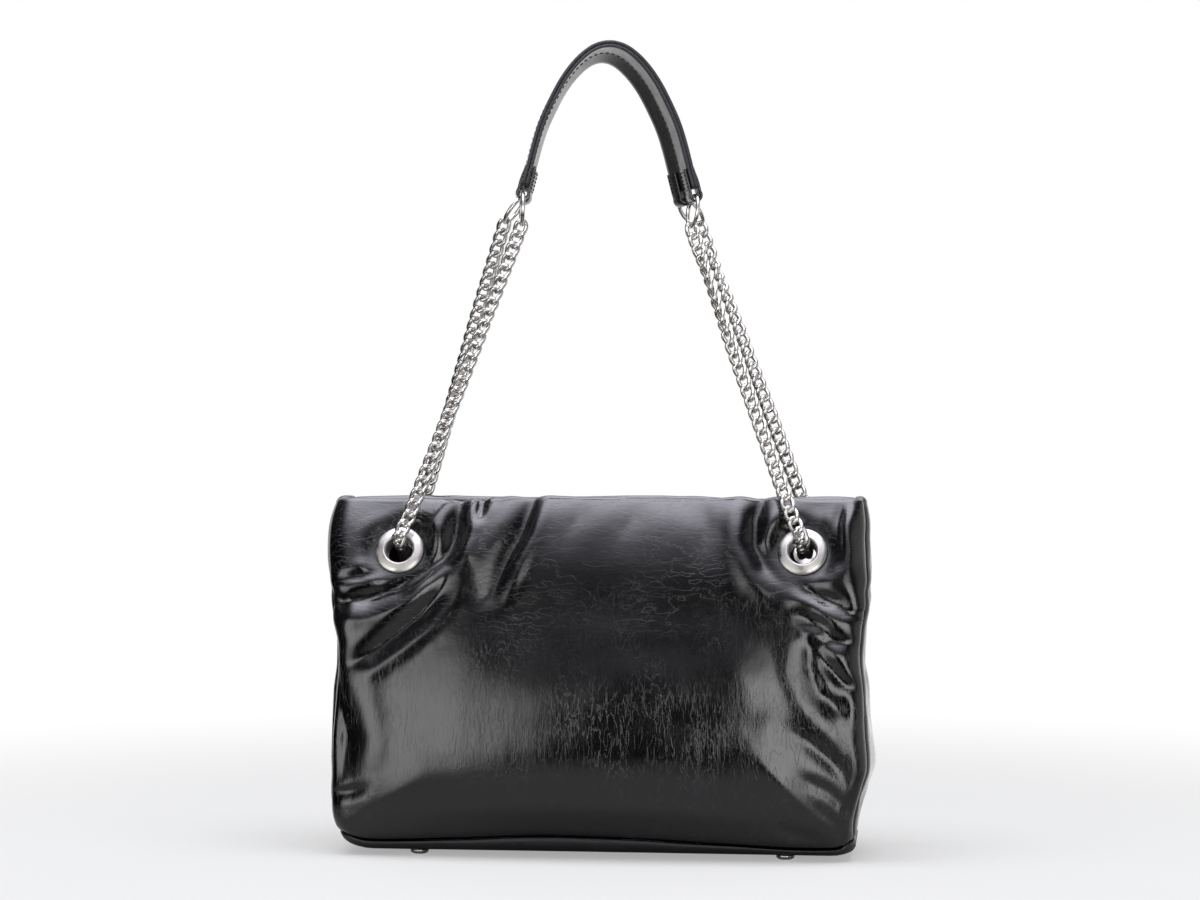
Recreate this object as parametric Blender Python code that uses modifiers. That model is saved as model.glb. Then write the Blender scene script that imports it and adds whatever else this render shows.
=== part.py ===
"""Padded leather shoulder bag with a chain-and-leather strap.

Metres, +Z up. X runs along the bag, its photographed face looks along -Y, and the origin is
at the bottom centre of the four feet. The strap is held up as it hangs from a hand.
"""
import math

import bmesh
import bpy
from mathutils import Matrix, Vector

MM = 0.001

# Driving sizes of the bag
WALL_WIDTH = 303 * MM          # between the seams, widest across the lower half
WAIST_TUCK = 4 * MM            # how far each side draws in at mid height
MOUTH_TUCK = 0.6 * MM          # how far each side draws in at the mouth
SEAM_HEIGHT = 9 * MM           # base seam above the floor
MOUTH_HEIGHT = 199 * MM        # where the wall starts to roll over
KNEE_DROP = 49 * MM            # from the mouth down to where the front and rear stop leaning inward
KNEE_HEIGHT = MOUTH_HEIGHT - KNEE_DROP
SEAM_HALF_DEPTH = 38 * MM      # half depth at the base seam
BELLY_HALF_DEPTH = 46 * MM     # half depth at the belly
KNEE_HALF_DEPTH = 43 * MM
MOUTH_HALF_DEPTH = 21.5 * MM
CROWN = 7 * MM                 # extra bulge in the middle of the front and rear
CORNER_RADIUS = 11 * MM
GUSSET_BULGE = 1.5 * MM
GUSSET_FOLD = 8 * MM           # how far the gusset folds in, above mid height
MOUTH_FOLD = 2 * MM            # and at the mouth

# Layers of the wall, from outside in
LEATHER = 1.4 * MM
PADDING = 4 * MM
LINING = 1 * MM
GAP = 0.3 * MM                 # clearance between pieces that touch
FACING_HEIGHT = 46 * MM        # leather band inside the mouth
ROLL_RADIUS = (LEATHER + PADDING + LINING) / 2 + 1.5 * GAP

# Base
BASE_CLEARANCE = 3.1 * MM      # underside of the base above the floor
BOARD = 2 * MM
BOARD_INSET = 4.5 * MM
BASE_EDGE_RADIUS = SEAM_HEIGHT - BASE_CLEARANCE
WASHER = 0.6 * MM

# Feet
FOOT_RADIUS = 5.3 * MM
FOOT_FLAT_RADIUS = 3.6 * MM
FOOT_X = WALL_WIDTH / 2 - 47.5 * MM
FOOT_Y = SEAM_HALF_DEPTH - 13 * MM
FOOT_STEM_RADIUS = 1.5 * MM
FOOT_WASHER_RADIUS = 5 * MM

# Eyelets
EYELET_X = WALL_WIDTH / 2 - 37.5 * MM
EYELET_HEIGHT = MOUTH_HEIGHT - 26.5 * MM
EYELET_RADIUS = 14 * MM
EYELET_BORE_RADIUS = 7.6 * MM
EYELET_WALL = 0.8 * MM
EYELET_DOME = 2.3 * MM
EYELET_WASHER_RADIUS = 12.5 * MM
EYELET_WASHER = 0.8 * MM

# Magnetic snap inside the mouth
SNAP_HEIGHT = MOUTH_HEIGHT - 21 * MM
SNAP_RADIUS = 8.5 * MM
SNAP_THICKNESS = 2 * MM
SNAP_POST_RADIUS = 2.4 * MM
SNAP_POST = 2.2 * MM

# Strap
STRAP_TOP = 462.5 * MM         # crease line at the top of the arch
STRAP_HALF_SPAN = 50 * MM      # crease line to the middle, at the strap's ends
STRAP_DROP = 83 * MM           # from the top of the arch to the strap's ends
STRAP_HALF_WIDTH = 14.5 * MM   # crease to edge
STRAP_LAYER = 1.9 * MM
STRAP_FRONT_FLARE = 1.5 * MM   # the front edge stands out from the crease line
STRAP_REAR_FLARE = 5 * MM      # the rear edge stands in from it
STRAP_TURN = math.radians(17)  # the arch is turned this far from the bag's length
SWING_HEIGHT = MOUTH_HEIGHT - 9 * MM  # axis along X about which the strap swings

# Tabs and rings at the strap's ends
TAB_WIDTH = 9 * MM
TAB_LEATHER = 1.4 * MM
TAB_EYE_RADIUS = 2.6 * MM
TAB_LENGTH = 16 * MM           # legs above the eye's centre
TAB_PLACE = 8.7 * MM           # crease to the middle of each tab
RING_RADIUS = 9.1 * MM         # to the middle of the wire
RING_WIRE_RADIUS = 1.2 * MM
RING_SPREAD = math.radians(18) # each ring leans this far off its chain, clear of its neighbour

# Chains
CHAIN_PITCH = 6.8 * MM
CHAIN_WIDTH = 8.4 * MM
CHAIN_WAIST = 5.2 * MM
CHAIN_THICKNESS = 3.2 * MM
CHAIN_RISE = 5.1 * MM          # chain's height above the bore's axis
CHAIN_MOUTH = 3 * MM           # where the inner run meets the free run, in front of the wall
CHAIN_STAND_OFF = 8.6 * MM     # chain in front of the wall as it rises
CHAIN_SAG = 4 * MM             # of the length inside the bag
CHAIN_RING_GAP = 1 * MM        # between a ring's wire and the end of its chain

WALL_ROWS = 8
ROLL_ROWS = 3
PANEL_COLUMNS = 10
GUSSET_COLUMNS = 4
ARC_COLUMNS = 2
BASE_LONG_COLUMNS = 6
BASE_SHORT_COLUMNS = 3
ROUND_SEGMENTS = 20
SMALL_SEGMENTS = 12
WIRE_SIDES = 6
OVERRUN = 2 * MM

SIDES = {"front": (0, -1), "rear": (0, 1), "left": (-1, 0), "right": (1, 0)}
ENDS = {"left": -1, "right": 1}
FOOT_ENDS = [("front", "left"), ("front", "right"), ("rear", "left"), ("rear", "right")]

# Crease line of the arch's right half, as shares of its span and its drop
ARCH_SHARES = [(0.0, 0.0), (0.2, 0.03), (0.4, 0.125), (0.57, 0.26), (0.71, 0.42), (0.805, 0.56),
               (0.87, 0.70), (0.935, 0.85), (1.0, 1.0)]
# Rows of the wall's outline, as shares of its height, and how much of each tuck they take
WIDTH_SHARES = [(0.0, 0.0, 1.0), (0.15, 0.0, 0.0), (0.4, 0.15, 0.0), (0.62, 1.0, 0.0), (0.85, 0.0, 0.5),
                (1.0, 0.0, 1.0)]
# Rows of the end's outline, as shares of its height, and how much bulge, fold and mouth fold
GUSSET_SHARES = [(0.0, 0.0, 0.0, 0.0), (0.25, 1.0, 0.0, 0.0), (0.44, 0.0, 0.4, 0.0), (0.62, 0.0, 1.0, 0.0),
                 (0.82, 0.0, 0.5, 0.5), (1.0, 0.0, 0.0, 1.0)]
# Domed flange of an eyelet: shares of the way from bore to rim, and of the dome's height
FLANGE_SHARES = [(0.0, 0.45), (0.12, 0.85), (0.35, 1.0), (0.7, 0.8), (0.94, 0.4)]
# Side of a foot: shares of its radius and of its height
FOOT_SHARES = [(0.86, 1.0), (1.0, 0.72), (0.95, 0.3)]
# Control points of a free chain: its bend at the eyelet, out and up, and then its straight run
BEND_SHARES = [(0.0, 0.0), (0.3, 0.0), (0.9, 0.6), (1.0, 2.0)]
STRAND_SHARES = (0.15, 0.4, 0.7, 1.0)
# Section of a run of chain, as shares of half its width and thickness
LINK_SHARES = [(1, 0), (0.5, 1), (-0.5, 1), (-1, 0), (-0.5, -1), (0.5, -1)]


def start_scene():
    for thing in list(bpy.data.objects):
        bpy.data.objects.remove(thing)
    parts = bpy.data.collections.new("shoulder_bag")
    cutters = bpy.data.collections.new("cutters")
    bpy.context.scene.collection.children.link(parts)
    bpy.context.scene.collection.children.link(cutters)
    return parts, cutters


def make_material(name, colour, roughness, metallic=0.0):
    material = bpy.data.materials.new(name)
    material.use_nodes = True
    shader = material.node_tree.nodes["Principled BSDF"]
    shader.inputs["Base Color"].default_value = (*colour, 1.0)
    shader.inputs["Roughness"].default_value = roughness
    shader.inputs["Metallic"].default_value = metallic
    material.diffuse_color = (*colour, 1.0)
    return material


def add_mesh(name, mesh, material, collection, smooth=True):
    thing = bpy.data.objects.new(name, mesh)
    mesh.materials.append(material)
    collection.objects.link(thing)
    if smooth:
        mesh.shade_smooth()
        mesh.set_sharp_from_angle(angle=math.radians(40))
    return thing


def face_outward(work):
    bmesh.ops.recalc_face_normals(work, faces=work.faces[:])
    if work.calc_volume(signed=True) < 0:
        bmesh.ops.reverse_faces(work, faces=work.faces[:])


def mix(a, b, share):
    return a + (b - a) * share


def curve_value(table, at):
    """Read a smooth curve through (position, value) pairs."""
    if at <= table[0][0]:
        return table[0][1]
    for index in range(len(table) - 1):
        (left, low), (right, high) = table[index], table[index + 1]
        if at <= right:
            before = table[max(index - 1, 0)]
            after = table[min(index + 2, len(table) - 1)]
            slope_low = (high - before[1]) / (right - before[0])
            slope_high = (after[1] - low) / (after[0] - left)
            span = right - left
            t = (at - left) / span
            return ((2 * t ** 3 - 3 * t ** 2 + 1) * low + (t ** 3 - 2 * t ** 2 + t) * span * slope_low
                    + (3 * t ** 2 - 2 * t ** 3) * high + (t ** 3 - t ** 2) * span * slope_high)
    return table[-1][1]


def half_width(height):
    table = [(mix(SEAM_HEIGHT, MOUTH_HEIGHT, rise), WALL_WIDTH / 2 - waist * WAIST_TUCK - mouth * MOUTH_TUCK)
             for rise, waist, mouth in WIDTH_SHARES]
    return curve_value(table, height)


def half_depth(height):
    if height >= KNEE_HEIGHT:
        share = (height - KNEE_HEIGHT) / (MOUTH_HEIGHT - KNEE_HEIGHT)
        return mix(KNEE_HALF_DEPTH, MOUTH_HALF_DEPTH, share)
    table = [(mix(SEAM_HEIGHT, KNEE_HEIGHT, rise), mix(end, BELLY_HALF_DEPTH, share))
             for rise, end, share in ((0.0, SEAM_HALF_DEPTH, 0.0), (0.2, SEAM_HALF_DEPTH, 0.7),
                                      (0.5, BELLY_HALF_DEPTH, 1.0), (0.8, KNEE_HALF_DEPTH, 0.85),
                                      (1.0, KNEE_HALF_DEPTH, 0.0))]
    return curve_value(table, height)


def crown(height):
    """Bulge of the front and rear, nought at the base seam and above the knee."""
    share = (height - SEAM_HEIGHT) / (KNEE_HEIGHT - SEAM_HEIGHT)
    if share <= 0 or share >= 1:
        return 0.0
    return CROWN * math.sin(math.pi * share) ** 2


def gusset_push(height):
    table = [(mix(SEAM_HEIGHT, MOUTH_HEIGHT, rise),
              bulge * GUSSET_BULGE - fold * GUSSET_FOLD - mouth * MOUTH_FOLD)
             for rise, bulge, fold, mouth in GUSSET_SHARES]
    return curve_value(table, height)


def wall_point(side, along, height):
    """Outer face of the wall. Along runs from -1 to 1 between the two seams of a side, and
    each seam is in the middle of its round corner."""
    wide, deep = half_width(height), half_depth(height)
    across_x, across_y = SIDES[side]
    if across_y:
        flat, stand, push, power = wide - CORNER_RADIUS, deep, crown(height), 4
    else:
        flat, stand, push, power = deep - CORNER_RADIUS, wide, gusset_push(height), 2
    arc = CORNER_RADIUS * math.pi / 4
    travel = along * (flat + arc)
    if abs(travel) <= flat:
        run = travel
        out = stand + push * (1 - (travel / flat) ** power) ** 3
    else:
        angle = (abs(travel) - flat) / CORNER_RADIUS
        run = math.copysign(flat + CORNER_RADIUS * math.sin(angle), travel)
        out = stand - CORNER_RADIUS * (1 - math.cos(angle))
    if across_y:
        return Vector((run, out * across_y, height))
    return Vector((out * across_x, run, height))


def wall_frame(side, along, height):
    """A point of the wall's outer face, its outward normal and its upward direction."""
    step = 1e-4
    tiny = step * (MOUTH_HEIGHT - SEAM_HEIGHT)
    low = max(height - tiny, SEAM_HEIGHT)
    high = min(height + tiny, MOUTH_HEIGHT)
    up = (wall_point(side, along, high) - wall_point(side, along, low)).normalized()
    across = wall_point(side, along + step, height) - wall_point(side, along - step, height)
    normal = across.cross(up).normalized()
    outward = Vector((*SIDES[side], 0.0))
    if normal.dot(outward) < 0:
        normal = -normal
    return wall_point(side, along, height), normal, up


def wall_heights():
    """Rows of every layer: even steps, with one on the knee."""
    heights = [mix(SEAM_HEIGHT, MOUTH_HEIGHT, row / WALL_ROWS) for row in range(WALL_ROWS + 1)]
    nearest = min(range(1, WALL_ROWS), key=lambda row: abs(heights[row] - KNEE_HEIGHT))
    heights[nearest] = KNEE_HEIGHT
    return heights


def column_share(side, column, columns, height):
    """Place of a grid column between the two seams, which lie half a gap further out."""
    flat = (half_width(height) if SIDES[side][1] else half_depth(height)) - CORNER_RADIUS
    length = flat + CORNER_RADIUS * math.pi / 4
    edge, trim = flat / length, 1 - GAP / 2 / length
    if column < ARC_COLUMNS:
        return -mix(trim, edge, column / ARC_COLUMNS)
    if column > columns - ARC_COLUMNS:
        return mix(trim, edge, (columns - column) / ARC_COLUMNS)
    return mix(-edge, edge, (column - ARC_COLUMNS) / (columns - 2 * ARC_COLUMNS))


def sunk_point(side, column, columns, height, depth):
    """A point at a depth under the wall's outer face, on the straight between two rows."""
    heights = wall_heights()
    low = max(row for row in heights[:-1] if row <= height)
    high = heights[heights.index(low) + 1]
    ends = []
    for row in (low, high):
        point, normal, up = wall_frame(side, column_share(side, column, columns, row), row)
        ends.append(point - normal * depth)
    return ends[0].lerp(ends[1], (height - low) / (high - low))


def roll_point(side, column, columns, step, depth):
    """A point of the leather that rolls over the wall's top."""
    along = column_share(side, column, columns, MOUTH_HEIGHT)
    point, normal, up = wall_frame(side, along, MOUTH_HEIGHT)
    angle = math.pi * step / ROLL_ROWS
    outward = normal * math.cos(angle) + up * math.sin(angle)
    return point - normal * ROLL_RADIUS + outward * (ROLL_RADIUS - depth)


def wall_layer(name, side, outer, thickness, material, collection, bottom=None, top=None, roll=False):
    """One layer of a wall: a grid laid on the wall, sunk by outer and made solid."""
    bottom = SEAM_HEIGHT + GAP / 2 if bottom is None else bottom
    top = MOUTH_HEIGHT if top is None else top
    columns = (PANEL_COLUMNS if SIDES[side][1] else GUSSET_COLUMNS) + 2 * ARC_COLUMNS
    heights = [bottom] + [row for row in wall_heights() if bottom + GAP < row < top - GAP] + [top]
    last = len(heights) - 1
    rows = last + (ROLL_ROWS if roll else 0)
    work = bmesh.new()
    bmesh.ops.create_grid(work, x_segments=columns, y_segments=rows, size=1.0)
    inner = {}
    for vert in work.verts:
        column = round((vert.co.x + 1) / 2 * columns)
        row = round((vert.co.y + 1) / 2 * rows)
        for depth in (outer + thickness, outer):
            if row > last:
                spot = roll_point(side, column, columns, row - last, depth)
            else:
                spot = sunk_point(side, column, columns, heights[row], depth)
            inner.setdefault(vert, spot)
        vert.co = spot
    bmesh.ops.triangulate(work, faces=work.faces[:], quad_method="FIXED")
    thicken(work, inner)
    mesh = bpy.data.meshes.new(name)
    work.to_mesh(mesh)
    work.free()
    return add_mesh(name, mesh, material, collection)


def thicken(work, inner):
    """Close an open grid with its inner face, whose places are given."""
    rim = [edge for edge in work.edges if edge.is_boundary]
    copied = bmesh.ops.duplicate(work, geom=work.verts[:] + work.edges[:] + work.faces[:])
    pairs = copied["vert_map"]
    for vert, spot in inner.items():
        pairs[vert].co = spot
    for edge in rim:
        first, second = edge.verts
        work.faces.new((first, second, pairs[second], pairs[first]))
    face_outward(work)


def loft(name, rings, material, collection, smooth=True):
    """A closed solid through rings of equal count, capped at both ends."""
    work = bmesh.new()
    rows = [[work.verts.new(point) for point in ring] for ring in rings]
    count = len(rows[0])
    for lower, upper in zip(rows, rows[1:]):
        for index in range(count):
            following = (index + 1) % count
            work.faces.new((lower[index], lower[following], upper[following], upper[index]))
    work.faces.new(rows[0])
    work.faces.new(rows[-1])
    face_outward(work)
    mesh = bpy.data.meshes.new(name)
    work.to_mesh(mesh)
    work.free()
    return add_mesh(name, mesh, material, collection, smooth)


def turned(name, profile, closed, place, material, collection, segments=ROUND_SEGMENTS):
    """Turn a profile of (radius, height) points about its own Z axis."""
    mesh = bpy.data.meshes.new(name)
    edges = [(index, index + 1) for index in range(len(profile) - 1)]
    if closed:
        edges.append((len(profile) - 1, 0))
    mesh.from_pydata([(radius, 0.0, height) for radius, height in profile], edges, [])
    thing = add_mesh(name, mesh, material, collection, smooth=False)
    screw = thing.modifiers.new("turn", "SCREW")
    screw.steps = segments
    screw.render_steps = segments
    screw.use_merge_vertices = True
    screw.merge_threshold = 0.00001
    screw.use_smooth_shade = True
    thing.matrix_world = place
    return thing


def cut(thing, cutter):
    difference = thing.modifiers.new("hole", "BOOLEAN")
    difference.operation = "DIFFERENCE"
    difference.object = cutter


def round_cutter(name, radius, length, place, cutters):
    """A cylinder along the Z axis of its place, centred on it."""
    work = bmesh.new()
    bmesh.ops.create_cone(work, cap_ends=True, segments=ROUND_SEGMENTS,
                          radius1=radius, radius2=radius, depth=length)
    mesh = bpy.data.meshes.new(name)
    work.to_mesh(mesh)
    work.free()
    thing = bpy.data.objects.new(name, mesh)
    cutters.objects.link(thing)
    thing.matrix_world = place
    thing.hide_render = True
    thing.display_type = "WIRE"
    return thing


def place_on(point, axis, across):
    """A matrix whose Z axis is the given axis and whose X axis lies nearest to across."""
    axis = axis.normalized()
    right = (across - axis * across.dot(axis)).normalized()
    forward = axis.cross(right)
    return Matrix.Translation(point) @ Matrix((right, forward, axis)).transposed().to_4x4()


def smooth_route(points, spacing):
    """Even steps along a smooth curve through the points."""
    fine = []
    steps = 16
    for index in range(len(points) - 1):
        before = points[max(index - 1, 0)]
        first, second = points[index], points[index + 1]
        after = points[min(index + 2, len(points) - 1)]
        for step in range(steps):
            t = step / steps
            fine.append(0.5 * (2 * first + (second - before) * t
                               + (2 * before - 5 * first + 4 * second - after) * t ** 2
                               + (3 * first - before - 3 * second + after) * t ** 3))
    fine.append(points[-1])
    lengths = [0.0]
    for first, second in zip(fine, fine[1:]):
        lengths.append(lengths[-1] + (second - first).length)
    count = max(2, round(lengths[-1] / spacing))
    route = []
    at = 0
    for index in range(count + 1):
        wanted = lengths[-1] * index / count
        while at < len(fine) - 2 and lengths[at + 1] < wanted:
            at += 1
        share = (wanted - lengths[at]) / (lengths[at + 1] - lengths[at])
        route.append(fine[at].lerp(fine[at + 1], share))
    return route


def wall_stack():
    return LEATHER + GAP + PADDING + GAP + LINING


def eyelet_place(side, end):
    """Frame of an eyelet: its point on the wall, outward normal and upward direction."""
    flat = half_width(EYELET_HEIGHT) - CORNER_RADIUS
    along = end * EYELET_X / (flat + CORNER_RADIUS * math.pi / 4)
    return wall_frame(side, along, EYELET_HEIGHT)


def make_walls(parts, materials):
    walls = {}
    rim = MOUTH_HEIGHT - GAP
    facing_bottom = MOUTH_HEIGHT - FACING_HEIGHT
    for side in SIDES:
        shell = f"{side}_panel" if SIDES[side][1] else f"{side}_gusset"
        padding_depth = LEATHER + GAP
        lining_depth = padding_depth + PADDING + GAP
        walls[side] = [
            wall_layer(shell, side, 0.0, LEATHER, materials["leather"], parts, roll=True),
            wall_layer(f"{side}_padding", side, padding_depth, PADDING, materials["padding"], parts, top=rim),
            wall_layer(f"{side}_facing", side, lining_depth, LINING, materials["leather"], parts,
                       bottom=facing_bottom + GAP / 2, top=rim),
            wall_layer(f"{side}_lining", side, lining_depth, LINING, materials["lining"], parts,
                       top=facing_bottom - GAP / 2)]
    return walls


def base_ring(inset, height):
    """The base seam's outline, drawn in by inset, at a height."""
    ring = []
    for side, direction in (("front", 1), ("right", 1), ("rear", -1), ("left", -1)):
        columns = BASE_LONG_COLUMNS if SIDES[side][1] else BASE_SHORT_COLUMNS
        flat = (half_width(SEAM_HEIGHT) if SIDES[side][1] else half_depth(SEAM_HEIGHT)) - CORNER_RADIUS
        edge = flat / (flat + CORNER_RADIUS * math.pi / 4)
        shares = [-1 + (1 - edge) * step / ARC_COLUMNS for step in range(ARC_COLUMNS)]
        shares += [mix(-edge, edge, step / columns) for step in range(columns + 1)]
        shares += [edge + (1 - edge) * step / ARC_COLUMNS for step in range(1, ARC_COLUMNS)]
        for share in shares:
            point, normal, up = wall_frame(side, share * direction, SEAM_HEIGHT)
            normal.z = 0
            point = point - normal.normalized() * inset
            point.z = height
            ring.append(point)
    return ring


def base_heights():
    """Heights of what is stacked on the base: board, washer and lining."""
    tray = BASE_CLEARANCE + LEATHER
    board = tray + GAP + BOARD
    washer = board + GAP + WASHER
    return tray, board, washer


def make_base(parts, cutters, materials):
    tray, board, washer = base_heights()
    rings = []
    for wall, reverse in ((0.0, False), (LEATHER, True)):
        steps = [(BASE_EDGE_RADIUS, BASE_CLEARANCE + wall)]
        for step in range(1, 4):
            angle = math.pi / 2 * step / 3
            radius = BASE_EDGE_RADIUS - wall
            steps.append((BASE_EDGE_RADIUS - radius * math.sin(angle),
                          BASE_CLEARANCE + BASE_EDGE_RADIUS - radius * math.cos(angle) - GAP / 2))
        rings += [base_ring(inset, height) for inset, height in (reversed(steps) if reverse else steps)]
    panel = loft("base_panel", rings, materials["leather"], parts)
    bottom = tray + GAP
    board_piece = loft("base_board", [base_ring(BOARD_INSET, bottom), base_ring(BOARD_INSET, board)],
                       materials["board"], parts, smooth=False)
    lining_inset = wall_stack() + 2 * GAP
    low = washer + GAP
    loft("base_lining", [base_ring(lining_inset, low), base_ring(lining_inset, low + LINING)],
         materials["lining"], parts, smooth=False)
    for side, end in FOOT_ENDS:
        name = f"{side}_{end}"
        place = Matrix.Translation((FOOT_X * ENDS[end], FOOT_Y * SIDES[side][1], 0.0))
        top = washer + GAP / 2
        under = BASE_CLEARANCE - GAP
        profile = [(0.0, top), (FOOT_STEM_RADIUS, top), (FOOT_STEM_RADIUS, under)]
        profile += [(FOOT_RADIUS * wide, under * high) for wide, high in FOOT_SHARES]
        profile += [(FOOT_FLAT_RADIUS, 0.0), (0.0, 0.0)]
        turned(f"foot_{name}", profile, False, place, materials["metal"], parts, SMALL_SEGMENTS)
        bore = FOOT_STEM_RADIUS + GAP
        turned(f"foot_washer_{name}", [(bore, washer), (FOOT_WASHER_RADIUS, washer),
                                       (FOOT_WASHER_RADIUS, board + GAP), (bore, board + GAP)],
               True, place, materials["metal"], parts, SMALL_SEGMENTS)
        hole = round_cutter(f"foot_hole_{name}", bore, 2 * washer + OVERRUN, place, cutters)
        cut(panel, hole)
        cut(board_piece, hole)


def make_eyelets(walls, parts, cutters, materials):
    barrel = EYELET_BORE_RADIUS + EYELET_WALL
    back = wall_stack() + GAP + EYELET_WASHER
    for side, end in FOOT_ENDS:
        name = f"{side}_{end}"
        point, normal, up = eyelet_place(side, ENDS[end])
        place = place_on(point, normal, Vector((1, 0, 0)))
        profile = [(mix(EYELET_BORE_RADIUS, EYELET_RADIUS, way), GAP + EYELET_DOME * rise)
                   for way, rise in FLANGE_SHARES]
        profile += [(EYELET_RADIUS, GAP), (barrel, GAP), (barrel, -back - GAP), (EYELET_BORE_RADIUS, -back - GAP)]
        turned(f"eyelet_{name}", profile, True, place, materials["metal"], parts)
        washer_bore = barrel + GAP
        turned(f"eyelet_washer_{name}",
               [(washer_bore, EYELET_WASHER - back), (EYELET_WASHER_RADIUS, EYELET_WASHER - back),
                (EYELET_WASHER_RADIUS, -back), (washer_bore, -back)],
               True, place, materials["metal"], parts)
        hole = round_cutter(f"eyelet_hole_{name}", barrel + GAP, 2 * (back + OVERRUN), place, cutters)
        for layer in walls[side][:3]:
            cut(layer, hole)


def make_snap(parts, materials):
    depth = wall_stack() + GAP
    for side, piece in (("front", "snap_stud"), ("rear", "snap_socket")):
        point, normal, up = wall_frame(side, 0.0, SNAP_HEIGHT)
        place = place_on(point - normal * depth, -normal, Vector((1, 0, 0)))
        if piece == "snap_stud":
            inner = [(0.0, SNAP_THICKNESS + SNAP_POST), (SNAP_POST_RADIUS, SNAP_THICKNESS + SNAP_POST),
                     (SNAP_POST_RADIUS, SNAP_THICKNESS)]
        else:
            recess = SNAP_POST_RADIUS + GAP
            inner = [(0.0, SNAP_THICKNESS * 0.25), (recess, SNAP_THICKNESS * 0.25), (recess, SNAP_THICKNESS)]
        rim = [(SNAP_RADIUS * 0.9, SNAP_THICKNESS), (SNAP_RADIUS, SNAP_THICKNESS * 0.7),
               (SNAP_RADIUS, 0.0), (0.0, 0.0)]
        turned(piece, inner + rim, False, place, materials["metal"], parts)


def strap_stations():
    """Crease line of the arch, from its left end to its right end, with outward normals."""
    right = [Vector((STRAP_HALF_SPAN * span, 0.0, STRAP_TOP - STRAP_DROP * drop))
             for span, drop in ARCH_SHARES]
    left = [Vector((-point.x, 0.0, point.z)) for point in reversed(right[1:])]
    route = smooth_route(left + right, STRAP_DROP / 8)
    stations = []
    for index, point in enumerate(route):
        tangent = (route[min(index + 1, len(route) - 1)] - route[max(index - 1, 0)]).normalized()
        stations.append((point, Vector((-tangent.z, 0.0, tangent.x)), tangent))
    return stations


def strap_halves(outward):
    """Directions from the crease to the front and rear edges, and each half's normal."""
    front = outward * STRAP_FRONT_FLARE - Vector((0, 1, 0)) * STRAP_HALF_WIDTH
    rear = -outward * STRAP_REAR_FLARE + Vector((0, 1, 0)) * STRAP_HALF_WIDTH
    halves = {}
    for side, direction in (("front", front), ("rear", rear)):
        direction = direction.normalized()
        lift = (outward - direction * outward.dot(direction)).normalized()
        halves[side] = (direction, lift)
    return halves


def strap_turned(point):
    return Matrix.Rotation(STRAP_TURN, 3, "Z") @ point


def make_strap(parts, materials):
    stations = strap_stations()
    for name, outer, material in (("strap_leather", 0.0, "leather"),
                                  ("strap_backing", STRAP_LAYER + GAP, "leather")):
        rings = []
        for point, outward, tangent in stations:
            halves = strap_halves(outward)
            ring = []
            for depth, order in ((outer, ("front", "crease", "rear")),
                                 (outer + STRAP_LAYER, ("rear", "crease", "front"))):
                for where in order:
                    if where == "crease":
                        ring.append(point - outward * depth)
                    else:
                        along, lift = halves[where]
                        ring.append(point + along * STRAP_HALF_WIDTH - lift * depth)
            rings.append([strap_turned(corner) for corner in ring])
        hang_from_swing(loft(name, rings, materials[material], parts))


def hang_from_swing(thing):
    """Tie a piece to the axis on which the strap swings, where it is."""
    swing = bpy.data.objects["strap_swing_axis"]
    thing.parent = swing
    thing.matrix_parent_inverse = Matrix.Translation(-swing.location)


def tab_frame(side, end):
    """Eye centre of a tab, with its width, leather and upward directions, strap turned."""
    stations = strap_stations()
    point, outward, tangent = stations[-1] if end > 0 else stations[0]
    up = -tangent if end > 0 else tangent
    along, lift = strap_halves(outward)[side]
    middle = point + along * TAB_PLACE - lift * (STRAP_LAYER + GAP / 2)
    eye = middle - up * (TAB_EYE_RADIUS + TAB_LEATHER)
    return [strap_turned(each) for each in (eye, along, lift, up)]


def make_tab(name, frame, parts, materials):
    eye, along, lift, up = frame
    inner_leg = STRAP_LAYER + GAP / 2 + GAP
    outer_leg = inner_leg + TAB_LEATHER
    outer_radius = TAB_EYE_RADIUS + TAB_LEATHER
    inner_start = math.acos(inner_leg / TAB_EYE_RADIUS)
    outer_start = math.acos(outer_leg / outer_radius)
    steps = 8
    pairs = [((inner_leg, TAB_LENGTH), (outer_leg, TAB_LENGTH))]
    for step in range(steps + 1):
        pair = []
        for start, radius in ((inner_start, TAB_EYE_RADIUS), (outer_start, outer_radius)):
            angle = mix(start, -math.pi - start, step / steps)
            pair.append((radius * math.cos(angle), radius * math.sin(angle)))
        pairs.append(tuple(pair))
    pairs.append(((-inner_leg, TAB_LENGTH), (-outer_leg, TAB_LENGTH)))
    rings = []
    for inner, outer in pairs:
        ring = []
        for (across, rise), wide in ((inner, -0.5), (outer, -0.5), (outer, 0.5), (inner, 0.5)):
            ring.append(eye + lift * across + up * rise + along * TAB_WIDTH * wide)
        rings.append(ring)
    hang_from_swing(loft(name, rings, materials["leather"], parts))


def ring_place(side, end):
    """Centre, hanging direction and axis of a ring, which hangs from its tab's eye."""
    eye, along, lift, up = tab_frame(side, end)
    point, normal, rise = eyelet_place(side, end)
    pull = (point + normal * CHAIN_STAND_OFF - eye).normalized()
    hang = (pull - along * pull.dot(along)).normalized()
    outward = (lift - hang * lift.dot(hang)).normalized()
    lean = -RING_SPREAD if side == "front" else RING_SPREAD
    hang = hang * math.cos(lean) + outward * math.sin(lean)
    return eye + hang * RING_RADIUS, hang, along.cross(hang)


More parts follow.
